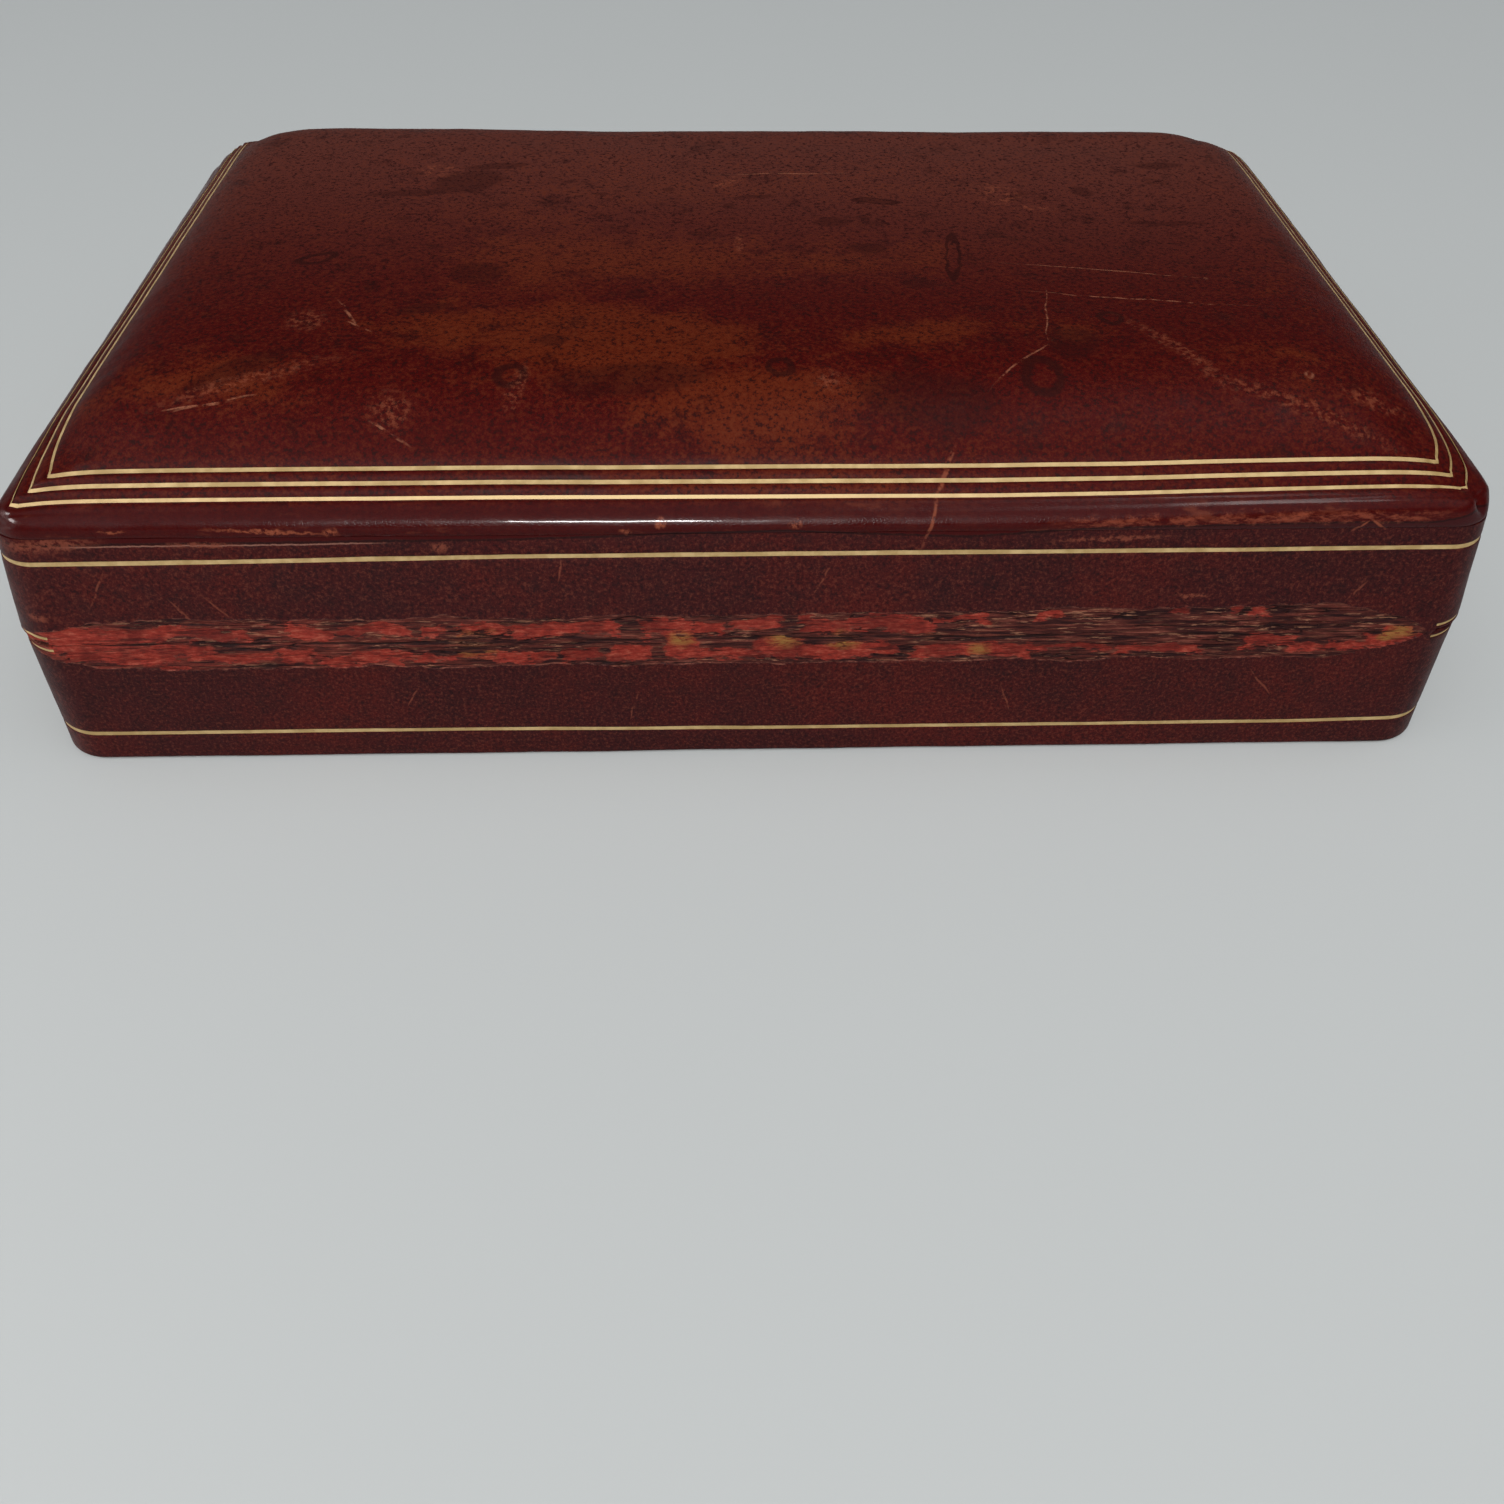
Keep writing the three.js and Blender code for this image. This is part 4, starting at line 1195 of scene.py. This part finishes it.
def lidTopLeather():
    outer = topSection()
    ways = sectionWays(outer)
    ways[0] = (0, 0)
    loops = []
    for (s, h), way in zip(outer, ways):
        loop = ring(lidHalf - s, panelZ + h, panelCorner(s), way)
        if s > noseEnd:
            loop[:, 2] -= settling["endFlatness"] * endShare(loop) * (h - marginHeight(s))
        loops.append(loop)
    thick, pared = shell["leather"], shell["pared"]
    turned, noseIn = outer[0][0], lidPanel["noseSetback"] + thick
    inner = [(turned, pared), (noseIn + 0.5, pared), (noseIn, pared + 0.5)]
    inner += [(noseIn + 0.4, 1.9), (noseEnd + 0.1, lidPanel["noseHeight"] - thick)]
    under = ((noseEnd + lineInsets[0]) / 2, *lineInsets, cushionInset)
    inner += [(s, marginHeight(s) - thick) for s in under]
    innerLoops = [ring(lidHalf - s, panelZ + h, panelCorner(s), (0, 0)) for s, h in inner]
    count = len(loops[0])
    top, across, deep = cushionGrid(0.0)
    faces = stackFaces(0, len(loops), count)
    used = len(loops) * count
    upper, more = fillLoop(used - count, top, across, deep, used, True)
    faces += more
    firstInner = used + len(upper)
    faces += stackFaces(firstInner, len(innerLoops), count, False)
    for k in range(count):
        n = (k + 1) % count
        faces.append([k, firstInner + k, firstInner + n, n])
    used = firstInner + len(innerLoops) * count
    lower, more = fillLoop(used - count, cushionGrid(thick)[0], across, deep, used, False)
    faces += more
    points = settled(np.vstack([*loops, upper, *innerLoops, lower]))
    values = {"overSeam": overSeam(points), "warmth": warmthAt(points)}
    piece = buildMesh("lid_top_leather_drawn", points, faces, topLeather, values)
    handOver(piece, "lid", "top_leather", "lid_top_leather")


lidTopLeather()

print("stage: leather round the walls")

lidJointHalf, baseJointHalf = boxMm("joint_leather_lid_half"), boxMm("joint_leather_base_half")
joint = {
    "lowZ": baseJointHalf[0][2] - 0.05,
    "highZ": lidJointHalf[1][2] + 0.05,
    "foldLow": baseWallHigh[2],
    "foldHigh": lidWallLow[2],
    "cornerSteps": 3,  # how far the joint runs into the rounded corners
    "columnMm": 0.36,
    "rowMm": 0.14,
}


def lineHeight(node):
    low, high = boxMm(node)
    return (low[2] + high[2]) / 2


lidLineZ = lineHeight("lid_gilt_line")
lidLean = (lidHalf[0] - boxMm("lid_gilt_line")[1][0] - 0.1) / (lidLineZ - 0.4 - lidWallLow[2])


def lidInset(z):
    return lidLean * max(z - lidWallLow[2], 0)


def straight(z):
    return 0.0 * z


# Rows up the outside of a wall, with a tooled groove at each line. The torn back has finer rows.
def wallRows(lowZ, highZ, inset, lines):
    fineLow, fineHigh = max(lowZ, joint["lowZ"]), min(highZ, joint["highZ"])
    levels = list(np.arange(lowZ, highZ, shell["wallRowMm"])) + [highZ]
    if fineHigh > fineLow:
        levels += list(np.linspace(fineLow, fineHigh, int((fineHigh - fineLow) / shell["tornRowMm"]) + 1))
    for z, width in lines:
        levels = [level for level in levels if abs(level - z) > width / 2 + 0.3]
        edge, slope = width / 2, shell["grooveSlope"]
        levels += [z - edge - 0.25, z + edge + 0.25]
        levels += [z - edge, z - edge + slope, z, z + edge - slope, z + edge]
    rows = []
    for level in sorted({round(float(level), 4) for level in levels + [lowZ, highZ]}):
        if lowZ - 1e-4 <= level <= highZ + 1e-4:
            away = [abs(level - z) - width / 2 for z, width in lines]
            depths = [1 if gap < -0.05 else 0.15 for gap in away if gap < 0.05]
            rows.append((inset(level) + shell["grooveDepth"] * max(depths, default=0), level))
    return rows


def quarter(insetMiddle, zMiddle, radius, fromDegrees, steps=4):
    angles = np.radians(np.linspace(fromDegrees, fromDegrees + 90, steps + 1))
    return [(insetMiddle - radius * math.cos(a), zMiddle + radius * math.sin(a)) for a in angles]


# The first and last point of the joint in a loop of so many points.
def jointSpan(count):
    left = shell["cornerSteps"] - joint["cornerSteps"]
    firstBack = count - (shell["sideSteps"][0] + 2 * shell["cornerSteps"])
    return firstBack + left, count - left


# A band of leather round a wall. Rows run up its outside, over, and back down its inside.
# In the back, the rows from openFrom to openTo are left out for the joint.
def wallBand(part, half, outer, inner, firstRow, openFrom, openTo):
    loops = []
    for (s, z), way in zip(outer, sectionWays(outer)):
        loops.append(ring(half - s, z, max(shell["cornerRadius"] - s, 0), way, worn=True))
    for s, z in inner:
        if s is None:  # the turned-in edge ends square, at the opening
            flat = outline(openingHalf(part), 0)[0]
            loops.append(atHeight(flat, z))
        else:
            loops.append(ring(half - s, z, max(shell["cornerRadius"] - s, 0), (0, 0)))
    loops = loops[firstRow:] + loops[:firstRow]
    count, total = len(loops[0]), len(loops)
    opens, closes = jointSpan(count)
    faces = []

    def strip(low, high, columns):
        for k in columns:
            n = (k + 1) % count
            faces.append([low * count + k, low * count + n, high * count + n, high * count + k])

    for r in range(total):
        beside = [k for k in range(count) if not (openFrom <= r < openTo and opens <= k < closes)]
        strip(r, (r + 1) % total, beside)
    strip(openFrom, openTo % total, range(opens, closes))
    column = [r % total for r in range(openFrom, openTo + 1)]
    faces.append([r * count + opens for r in column[::-1]])
    faces.append([r * count + closes % count for r in column])
    points = np.vstack(loops)
    values = wearAt(points) | {"overSeam": overSeam(points)}
    piece = buildMesh(part + "_wall_leather_drawn", points, faces, wallLeather, values)
    handOver(piece, part, "wall_leather", part + "_wall_leather")


def baseBand():
    s, lowZ, highZ = shell, baseWallLow[2], baseWallHigh[2]
    footTop, rimFoot = lowZ + s["footRound"], highZ - s["rimRound"]
    outer = [(s["turnIn"], lowZ), *quarter(s["footRound"], footTop, s["footRound"], -90)[:-1]]
    outer += wallRows(footTop, joint["lowZ"], straight, [(lineHeight("base_gilt_line"), s["giltWidth"])])
    openFrom = len(outer) - 1
    rimLine = (lineHeight("base_rim_gilt_line"), s["rimLineWidth"])
    outer += wallRows(joint["lowZ"], rimFoot, straight, [rimLine])[1:]
    outer += quarter(s["rimRound"], rimFoot, s["rimRound"], 0)[1:] + [(4, highZ)]
    inner = [(None, highZ), (None, highZ - s["pared"]), (s["leather"], highZ - s["pared"])]
    inner += [(s["leather"], joint["lowZ"])]
    inner += [(inset, lowZ + s["pared"]) for inset in (s["leather"], s["turnIn"])]
    wallBand("base", baseHalf, outer, inner, 0, openFrom, len(outer) + 3)


def lidBand():
    s, lowZ, highZ = shell, lidWallLow[2], lidWallHigh[2]
    rimTop = lowZ + s["rimRound"]
    outer = [(4, lowZ), *quarter(s["rimRound"], rimTop, s["rimRound"], -90)[:-1]]
    rimLine = (lineHeight("lid_rim_gilt_line"), s["rimLineWidth"])
    outer += wallRows(rimTop, joint["highZ"], lidInset, [rimLine])
    firstAbove = len(outer) - 1
    outer += wallRows(joint["highZ"], highZ, lidInset, [(lidLineZ, s["giltWidth"])])[1:]
    inner = [(lidInset(z) + s["leather"], z) for z in (highZ, joint["highZ"])]
    inner += [(s["leather"] + 0.05, lowZ + s["pared"]), (None, lowZ + s["pared"]), (None, lowZ)]
    openFrom = len(outer) + 1 - firstAbove
    wallBand("lid", lidHalf, outer, inner, firstAbove, openFrom, len(outer) + len(inner))


baseBand()
lidBand()

print("stage: leather joint")


# Faces of a strip whose rows of points run once round its section, with both its ends closed.
def stripFaces(rows, count):
    faces = []
    for low, high in zip(rows, rows[1:] + rows[:1]):
        for k in range(count - 1):
            faces.append([low * count + k, low * count + k + 1, high * count + k + 1, high * count + k])
    faces.append([row * count for row in rows])
    faces.append([row * count + count - 1 for row in rows][::-1])
    return faces


# One row of the joint, running along the back and into both rounded corners.
def jointRow(z, depth, worn):
    over = rampUp(z, joint["foldLow"], joint["foldHigh"])
    size = baseHalf + (lidHalf - baseHalf) * over - lidInset(z)
    radius = shell["cornerRadius"] - lidInset(z)
    reach = size[0] - shell["cornerRadius"]
    cornerEnd = shell["cornerRadius"] * math.tan(math.pi / 4 * joint["cornerSteps"] / shell["cornerSteps"])
    count = int(2 * (baseHalf[0] - shell["cornerRadius"]) / joint["columnMm"]) + 1
    corner = np.linspace(0, cornerEnd, 8)[1:]
    xs = np.concatenate([-reach - corner[::-1], np.linspace(-reach, reach, count), reach + corner])
    flat = atHeight(xs, -size[1])
    flat, out = roundCorners(flat, np.tile((0, -1.0), (len(xs), 1)), size, radius)
    points = atHeight(flat, z)
    swell = -depth * np.ones(len(xs))
    if worn:
        swell = handwork(points) - wearDepth(wearAt(points))
    return points + np.column_stack([out * swell[:, None], np.zeros(len(xs))])


def jointLeather():
    lowZ, highZ, foldLow, foldHigh = (joint[key] for key in ("lowZ", "highZ", "foldLow", "foldHigh"))
    levels = np.linspace(lowZ, highZ, int((highZ - lowZ) / joint["rowMm"]))
    behind = [highZ, foldHigh + 1, *np.linspace(foldHigh, foldLow, 9), foldLow - 1, lowZ]
    rows = [jointRow(z, 0, True) for z in levels] + [jointRow(z, shell["leather"], False) for z in behind]
    faces = stripFaces(list(range(len(rows))), len(rows[0]))
    points = np.vstack(rows)
    values = wearAt(points) | {"overSeam": overSeam(points)}
    piece = buildMesh("joint_leather", points, faces, wallLeather, values)
    handOver(piece, None, "joint_leather", "joint_leather_base_half", "joint_leather_lid_half")
    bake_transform(piece)


jointLeather()

print("stage: gilt lines")


# A node tree that the script fills, with its inputs named for the person who changes them.
def newTree(name, inputs):
    tree = bpy.data.node_groups.new(name, "GeometryNodeTree")
    tree.interface.new_socket("Geometry", in_out="INPUT", socket_type="NodeSocketGeometry")
    for label, kind, value in inputs:
        socket = tree.interface.new_socket(label, in_out="INPUT", socket_type=kind)
        if value is not None:
            socket.default_value = value
    tree.interface.new_socket("Geometry", in_out="OUTPUT", socket_type="NodeSocketGeometry")
    return tree, tree.nodes.new("NodeGroupInput").outputs, tree.nodes.new("NodeGroupOutput").inputs


# Turns what a tree makes from a carrier into a plain mesh piece.
def grow(name, carrier, tree, settings):
    modifier = carrier.modifiers.new("grow", "NODES")
    modifier.node_group = tree
    for item in tree.interface.items_tree:
        if item.in_out == "INPUT" and item.name in settings:
            modifier[item.identifier] = settings[item.name]
    bpy.context.view_layer.update()
    grown = carrier.evaluated_get(bpy.context.evaluated_depsgraph_get())
    mesh = bpy.data.meshes.new_from_object(grown)
    mesh.name = name
    carrier.modifiers.remove(modifier)
    bpy.data.objects.remove(carrier)
    return addObject(name, mesh)


def turnOutward(mesh):
    work = bmesh.new()
    work.from_mesh(mesh)
    bmesh.ops.recalc_face_normals(work, faces=work.faces)
    work.to_mesh(mesh)
    work.free()


gilding = {
    "wallWidth": 0.9,  # mm
    "rimWidth": 0.5,
    "marginWidth": 0.74,
    "thickness": 0.1,
    "wander": 0.16,  # share by which a line's width varies
    "wavesPerMetre": 160.0,
    "depth": 0.19,  # below the leather round it
    "endLift": 0.42,  # how much less deep the outermost line is on the steep ends
}


def giltTree():
    sizes = [("Width", "NodeSocketFloat", 0.0008), ("Thickness", "NodeSocketFloat", 0.0001)]
    sizes += [("Wander", "NodeSocketFloat", 0.1), ("Gilt", "NodeSocketMaterial", None)]
    tree, given, result = newTree("giltLine", sizes)
    path = addNode(tree, "GeometryNodeMeshToCurve", {0: given["Geometry"]}).outputs[0]
    facing = addNode(tree, "GeometryNodeInputNamedAttribute", {"Name": "facing"}, data_type="FLOAT_VECTOR")
    inputs = {"Curve": path, "Normal": facing.outputs[0]}
    turned = addNode(tree, "GeometryNodeSetCurveNormal", inputs, mode="FREE").outputs[0]
    inputs = {"Scale": gilding["wavesPerMetre"], "Detail": 2.0}
    waver = addNode(tree, "ShaderNodeTexNoise", inputs).outputs[0]
    less = times(tree, given["Wander"], -1.0)
    inputs = {0: waver, 1: 0.3, 2: 0.7, 3: less, 4: given["Wander"]}
    broad = plus(tree, addNode(tree, "ShaderNodeMapRange", inputs).outputs[0], 1.0)
    varied = addNode(tree, "GeometryNodeSetCurveRadius", {"Curve": turned, "Radius": broad}).outputs[0]
    inputs = {"Width": given["Thickness"], "Height": given["Width"]}
    strip = addNode(tree, "GeometryNodeCurvePrimitiveQuadrilateral", inputs).outputs[0]
    inputs = {"Curve": varied, "Profile Curve": strip, "Fill Caps": True}
    swept = addNode(tree, "GeometryNodeCurveToMesh", inputs).outputs[0]
    solid = addNode(tree, "GeometryNodeRealizeInstances", {0: swept}).outputs[0]
    gilded = addNode(tree, "GeometryNodeSetMaterial", {"Geometry": solid, "Material": given["Gilt"]})
    tree.links.new(gilded.outputs[0], result[0])
    return tree


giltPath = giltTree()


def giltLine(body, node, points, facing, closed, width):
    name = node + "_foil"
    edges = [(k, k + 1) for k in range(len(points) - 1)] + ([(len(points) - 1, 0)] if closed else [])
    mesh = bpy.data.meshes.new(name)
    mesh.from_pydata((points * mm).tolist(), edges, [])
    ways = mesh.attributes.new("facing", "FLOAT_VECTOR", "POINT")
    ways.data.foreach_set("vector", facing.astype(np.float32).ravel())
    settings = {"Width": width * mm, "Thickness": gilding["thickness"] * mm}
    settings |= {"Wander": gilding["wander"], "Gilt": giltFoil}
    piece = grow(name, addObject(name + "_path", mesh), giltPath, settings)
    turnOutward(piece.data)
    piece.data.shade_smooth()
    piece.data.set_sharp_from_angle(angle=math.radians(40))
    handOver(piece, body, "gilt", node)


def lineLoop(half, inset, z, radius, way):
    points = ring(half - inset, z, radius, way, -gilding["depth"], worn=True)
    if z > panelZ:
        outermost = inset == lineInsets[0]
        lift = gilding["endLift"] if outermost else settling["endFlatness"] * gilding["depth"]
        points[:, 2] += lift * endShare(points)
        points = settled(points)
    out = outline(half - inset, radius)[1]
    return points, np.column_stack([out * way[0], np.full(len(out), way[1])])


def wallLine(body, line, half, inset, width, opened):
    node = body + line
    z = lineHeight(node)
    tilt = math.atan((inset(z + 1) - inset(z - 1)) / 2)
    way = (math.cos(tilt), math.sin(tilt))
    points, facing = lineLoop(half, inset(z), z, shell["cornerRadius"] - inset(z), way)
    if opened:  # the line stops at the joint on both sides
        opens, closes = jointSpan(len(points))
        keep = [k % len(points) for k in range(closes, len(points) + opens + 1)]
        points, facing = points[keep], facing[keep]
    giltLine(body, node, points, facing, not opened, width)


def marginLine(number, inset):
    slope = (marginHeight(inset + 0.1) - marginHeight(inset - 0.1)) / 0.2
    way = np.array((slope, 1)) / math.hypot(slope, 1)
    points, facing = lineLoop(lidHalf, inset, panelZ + marginHeight(inset), panelCorner(inset), way)
    giltLine("lid", f"lid_top_gilt_line_{number}", points, facing, True, gilding["marginWidth"])


for number, lineInset in enumerate(lineInsets, 1):
    marginLine(number, lineInset)
for line, width, opened in (("_gilt_line", "wallWidth", False), ("_rim_gilt_line", "rimWidth", True)):
    wallLine("lid", line, lidHalf, lidInset, gilding[width], opened)
    wallLine("base", line, baseHalf, straight, gilding[width], opened)

print("stage: cloth joint")

clothJoint = {
    "thick": 0.5,
    "stepMm": 2.0,
    "wrinkle": 0.04,
    "bend": 0.35,  # mm above and below its middle, where it bends
}


# Sweeps one section, of places in from the back and heights, along the box's length.
def alongLength(name, section, half, thick, wrinkle, material):
    xs = np.linspace(-half, half, int(2 * half / clothJoint["stepMm"]) + 1)
    path = np.array(section)
    way = np.gradient(path, axis=0)
    length = np.maximum(np.linalg.norm(way, axis=1, keepdims=True), 1e-9)
    way = np.column_stack([-way[:, 1], way[:, 0]]) / length
    points = []
    for side in (0.5, -0.5):
        for place, turn in zip(path, way):
            flat = atHeight(atHeight(xs, place[0]), place[1])
            shift = side * thick + wrinkle * uneven(flat, 7, 21)
            points.append(flat + np.outer(shift, (0, turn[0], turn[1])))
    rows = len(path)
    faces = stripFaces(list(range(rows)) + list(range(2 * rows - 1, rows - 1, -1)), len(xs))
    piece = buildMesh(name, np.vstack(points), faces, material, sharpDegrees=60)
    turnOutward(piece.data)
    return piece


def jointCloth():
    c, halfThick = clothJoint, clothJoint["thick"] / 2
    low, high = boxMm("joint_cloth_base_half"), boxMm("joint_cloth_lid_half")
    half, foot, top = low[1][0], low[0][2], high[1][2]
    back = low[0][1] + halfThick + 0.05
    frontLow, frontHigh = low[1][1] - halfThick, high[1][1] - halfThick
    rimLow, rimHigh = low[1][2] - halfThick, high[0][2] + halfThick
    middle = (rimLow + rimHigh) / 2
    section = [(frontLow, foot), (frontLow, (foot + rimLow) / 2)]
    section += [(frontLow, rimLow - 0.4), (frontLow - 0.4, rimLow)]
    section += [(y, rimLow) for y in np.linspace(frontLow - 1.5, back + 1, 4)]
    section += [(back + 0.15, rimLow + 0.1), (back, middle - 0.25), (back - 0.02, middle)]
    section += [(back, middle + 0.25), (back + 0.15, rimHigh - 0.1)]
    section += [(y, rimHigh) for y in np.linspace(back + 1, frontHigh - 1.5, 4)]
    section += [(frontHigh - 0.4, rimHigh), (frontHigh, rimHigh + 0.4)]
    section += [(frontHigh, (top + rimHigh) / 2), (frontHigh, top)]
    piece = alongLength("joint_cloth", section, half, c["thick"], c["wrinkle"], jointCotton)
    handOver(piece, None, "joint_cloth", "joint_cloth_base_half", "joint_cloth_lid_half")
    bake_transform(piece)


jointCloth()

print("stage: lining")

lining = {
    "boardRound": 0.7,
    "boardPuff": 0.25,
    "floorPuff": 0.9,
    "lidPuff": 1.3,
    "shoulder": 14.0,  # mm over which a pad rises from its edge
    "wrinkle": 0.12,
}


# A covered board or pad: a slab with rounded edges, whose faces swell by the puffs.
# Its own width, height and thickness run along the given axes.
def coveredSlab(name, node, order, axes, radius, puffs, steps):
    low, high = boxMm(node)
    half = ((high - low) / 2)[order]
    edge = min(lining["boardRound"], half[2] * 0.9)
    zone = max(radius, edge) + 2.0
    loops = []
    for inset, level in quarter(edge, -half[2] + edge, edge, -90) + quarter(edge, half[2] - edge, edge, 0):
        flat = outline(half[:2] - inset, max(radius - inset, 0.01), steps, zone)[0]
        loops.append(atHeight(flat, level))
    size = half[:2] - edge
    across, deep = (stations(size[i], steps[i], zone) for i in (0, 1))
    gu, gv = (g.ravel() for g in np.meshgrid(across, deep, indexing="ij"))
    away = np.minimum(size[0] - np.abs(gu), size[1] - np.abs(gv))
    dome = 1 - (1 - np.clip(away / min(size.min(), lining["shoulder"]), 0, 1)) ** 2
    flat = atHeight(np.column_stack([gu, gv]), half[2])
    crease = lining["wrinkle"] * uneven(flat * (1, 0.35, 1), 5, 31) * dome
    top = flat + np.column_stack([np.zeros((len(gu), 2)), puffs[1] * dome + crease])
    under = flat * (1, 1, -1) - np.column_stack([np.zeros((len(gu), 2)), puffs[0] * dome])
    points, faces = closedStack(loops, top, under, len(across), len(deep))
    points = points @ np.array(axes, float) + (low + high) / 2
    piece = buildMesh(name, points, faces, satin, sharpDegrees=70)
    turnOutward(piece.data)
    return piece


def liningBoard(part, side, alongY, puffFirst):
    if alongY:  # the long boards, whose thickness runs along y
        order, axes, steps = [0, 2, 1], ([1, 0, 0], [0, 0, 1], [0, -1, 0]), (90, 8)
    else:
        order, axes, steps = [1, 2, 0], ([0, 1, 0], [0, 0, 1], [1, 0, 0]), (60, 8)
    puffs = (lining["boardPuff"], 0) if puffFirst else (0, lining["boardPuff"])
    node = f"{part}_lining_{side}"
    piece = coveredSlab(node + "_covered", node, order, axes, 0.6, puffs, steps)
    handOver(piece, part, "lining", node)


for part in ("base", "lid"):
    for side in ("back", "front", "left", "right"):
        liningBoard(part, side, side in ("back", "front"), side in ("back", "right"))


def softPanel(name, node, puffs, body):
    axes = ([1, 0, 0], [0, 1, 0], [0, 0, 1])
    piece = coveredSlab(name, node, [0, 1, 2], axes, 1.5, puffs, (96, 62))
    handOver(piece, body, "lining", node)


softPanel("base_floor_cushion", "base_floor_pad", (0, lining["floorPuff"]), "base")
softPanel("lid_lining_cushion", "lid_lining_panel", (lining["lidPuff"], 0), "lid")


# The wadding fills what is left between the lid's board and its leather.
def lidWadding():
    gap = shell["leather"] + 0.12
    low, high = boxMm("lid_pad")
    edge = lidHalf[0] - high[0]
    top, across, deep = cushionGrid(gap)
    insets = (edge, (edge + lineInsets[-1]) / 2, lineInsets[-1], cushionInset)
    levels = [(edge, low[2])] + [(s, panelZ + marginHeight(s) - gap) for s in insets]
    loops = [ring(lidHalf - s, z, 0, (0, 0)) for s, z in levels]
    xs, ys = (stations(lidHalf[i] - edge, shell["sideSteps"][i]) for i in (0, 1))
    under = np.array([(x, y, low[2]) for x in xs for y in ys])
    points, faces = closedStack(loops, top, under, across, deep)
    points = np.where(points[:, 2:] > low[2] + 0.01, settled(points), points)
    piece = buildMesh("lid_wadding", points, faces, wadding, sharpDegrees=60)
    handOver(piece, "lid", "wadding", "lid_pad")


lidWadding()

print("stage: carcass")

for nodeName, nodeObject in nodes.items():
    if nodeName.endswith(("_wall", "_board")):
        nodeObject.data.materials[0] = bareWood
nodes["base_bottom_cover"].data.materials[0] = skiver

print("stage: floor and lamps")

room = {
    "floor": (0.56, 0.58, 0.575),
    "floorRoughness": 0.7,
    "floorReach": 4.0,  # metres
    "floorDrop": 0.0002,
    "wallColour": (0.86, 0.88, 0.9),
    "wallLight": 0.13,  # strength away from the window
    "windowLight": 1.2,
    "windowRise": 65.0,  # degrees above level, on the side of the box's back
    "windowSpread": (30.0, 58.0),  # degrees from its middle where it starts and ends fading
}


def addFloor():
    mesh = bpy.data.meshes.new("tableTop")
    reach = room["floorReach"]
    corners = [(-reach, -reach, 0), (reach, -reach, 0), (reach, reach, 0), (-reach, reach, 0)]
    mesh.from_pydata(corners, [], [(0, 1, 2, 3)])
    material, tree, shader = newMaterial("tableTop")
    plug(tree, shader.inputs["Base Color"], room["floor"])
    plug(tree, shader.inputs["Roughness"], room["floorRoughness"])
    mesh.materials.append(material)
    floor = addObject("tableTop", mesh)
    floor.location.z = -room["floorDrop"]


def addLamp(name, lampLook):
    data = bpy.data.lights.new(name, "AREA")
    data.shape, data.energy, data.color = "RECTANGLE", lampLook["watts"], lampLook["colour"]
    data.size, data.size_y = lampLook["size"]
    lamp = addObject(name, data)
    lamp.location = lampLook["place"]
    lamp.rotation_euler = (Vector(lampLook["aim"]) - lamp.location).to_track_quat("-Z", "Y").to_euler()
    lamp.visible_diffuse, lamp.visible_glossy = not lampLook["onlyGlints"], lampLook["onlyGlints"]


# The windows only glint on polished leather and foil, the daylight only lights. In metres and watts.
lamps = {
    "lowWindow": {
        "place": (-0.065, -0.79, 0.41),
        "aim": (0, -0.05, 0.03),
        "size": (0.13, 0.06),
        "watts": 9,
        "colour": (1.0, 0.99, 0.98),
        "onlyGlints": True,
    },
    "leftWindow": {
        "place": (-0.81, -0.23, 0.39),
        "aim": (-0.12, -0.08, 0.05),
        "size": (0.35, 0.25),
        "watts": 12,
        "colour": (1.0, 0.98, 0.96),
        "onlyGlints": True,
    },
    "topWindow": {
        "place": (0.42, -0.03, 1.0),
        "aim": (0.1, -0.08, 0.05),
        "size": (0.3, 0.14),
        "watts": 4,
        "colour": (1.0, 0.98, 0.96),
        "onlyGlints": True,
    },
    "daylight": {
        "place": (-0.1, -1.1, 1.2),
        "aim": (0, -0.1, 0),
        "size": (0.9, 0.5),
        "watts": 12,
        "colour": (1.0, 0.99, 0.98),
        "onlyGlints": False,
    },
}


def addRoom():
    world = bpy.data.worlds.new("room")
    bpy.context.scene.world = world
    world.use_nodes = True
    tree = world.node_tree
    background = tree.nodes["Background"]
    way = addNode(tree, "ShaderNodeTexCoord").outputs["Generated"]
    rise = math.radians(room["windowRise"])
    inputs = {0: way, 1: (0, -math.cos(rise), math.sin(rise))}
    match = addNode(tree, "ShaderNodeVectorMath", inputs, operation="DOT_PRODUCT").outputs["Value"]
    start, end = (math.cos(math.radians(angle)) for angle in room["windowSpread"])
    light = remap(tree, match, end, start, room["wallLight"], room["windowLight"])
    plug(tree, background.inputs[0], room["wallColour"])
    plug(tree, background.inputs[1], light)


addFloor()
for lampName, lampLook in lamps.items():
    addLamp(lampName, lampLook)
addRoom()
bpy.context.scene.view_settings.view_transform = "Standard"

bpy.context.view_layer.update()
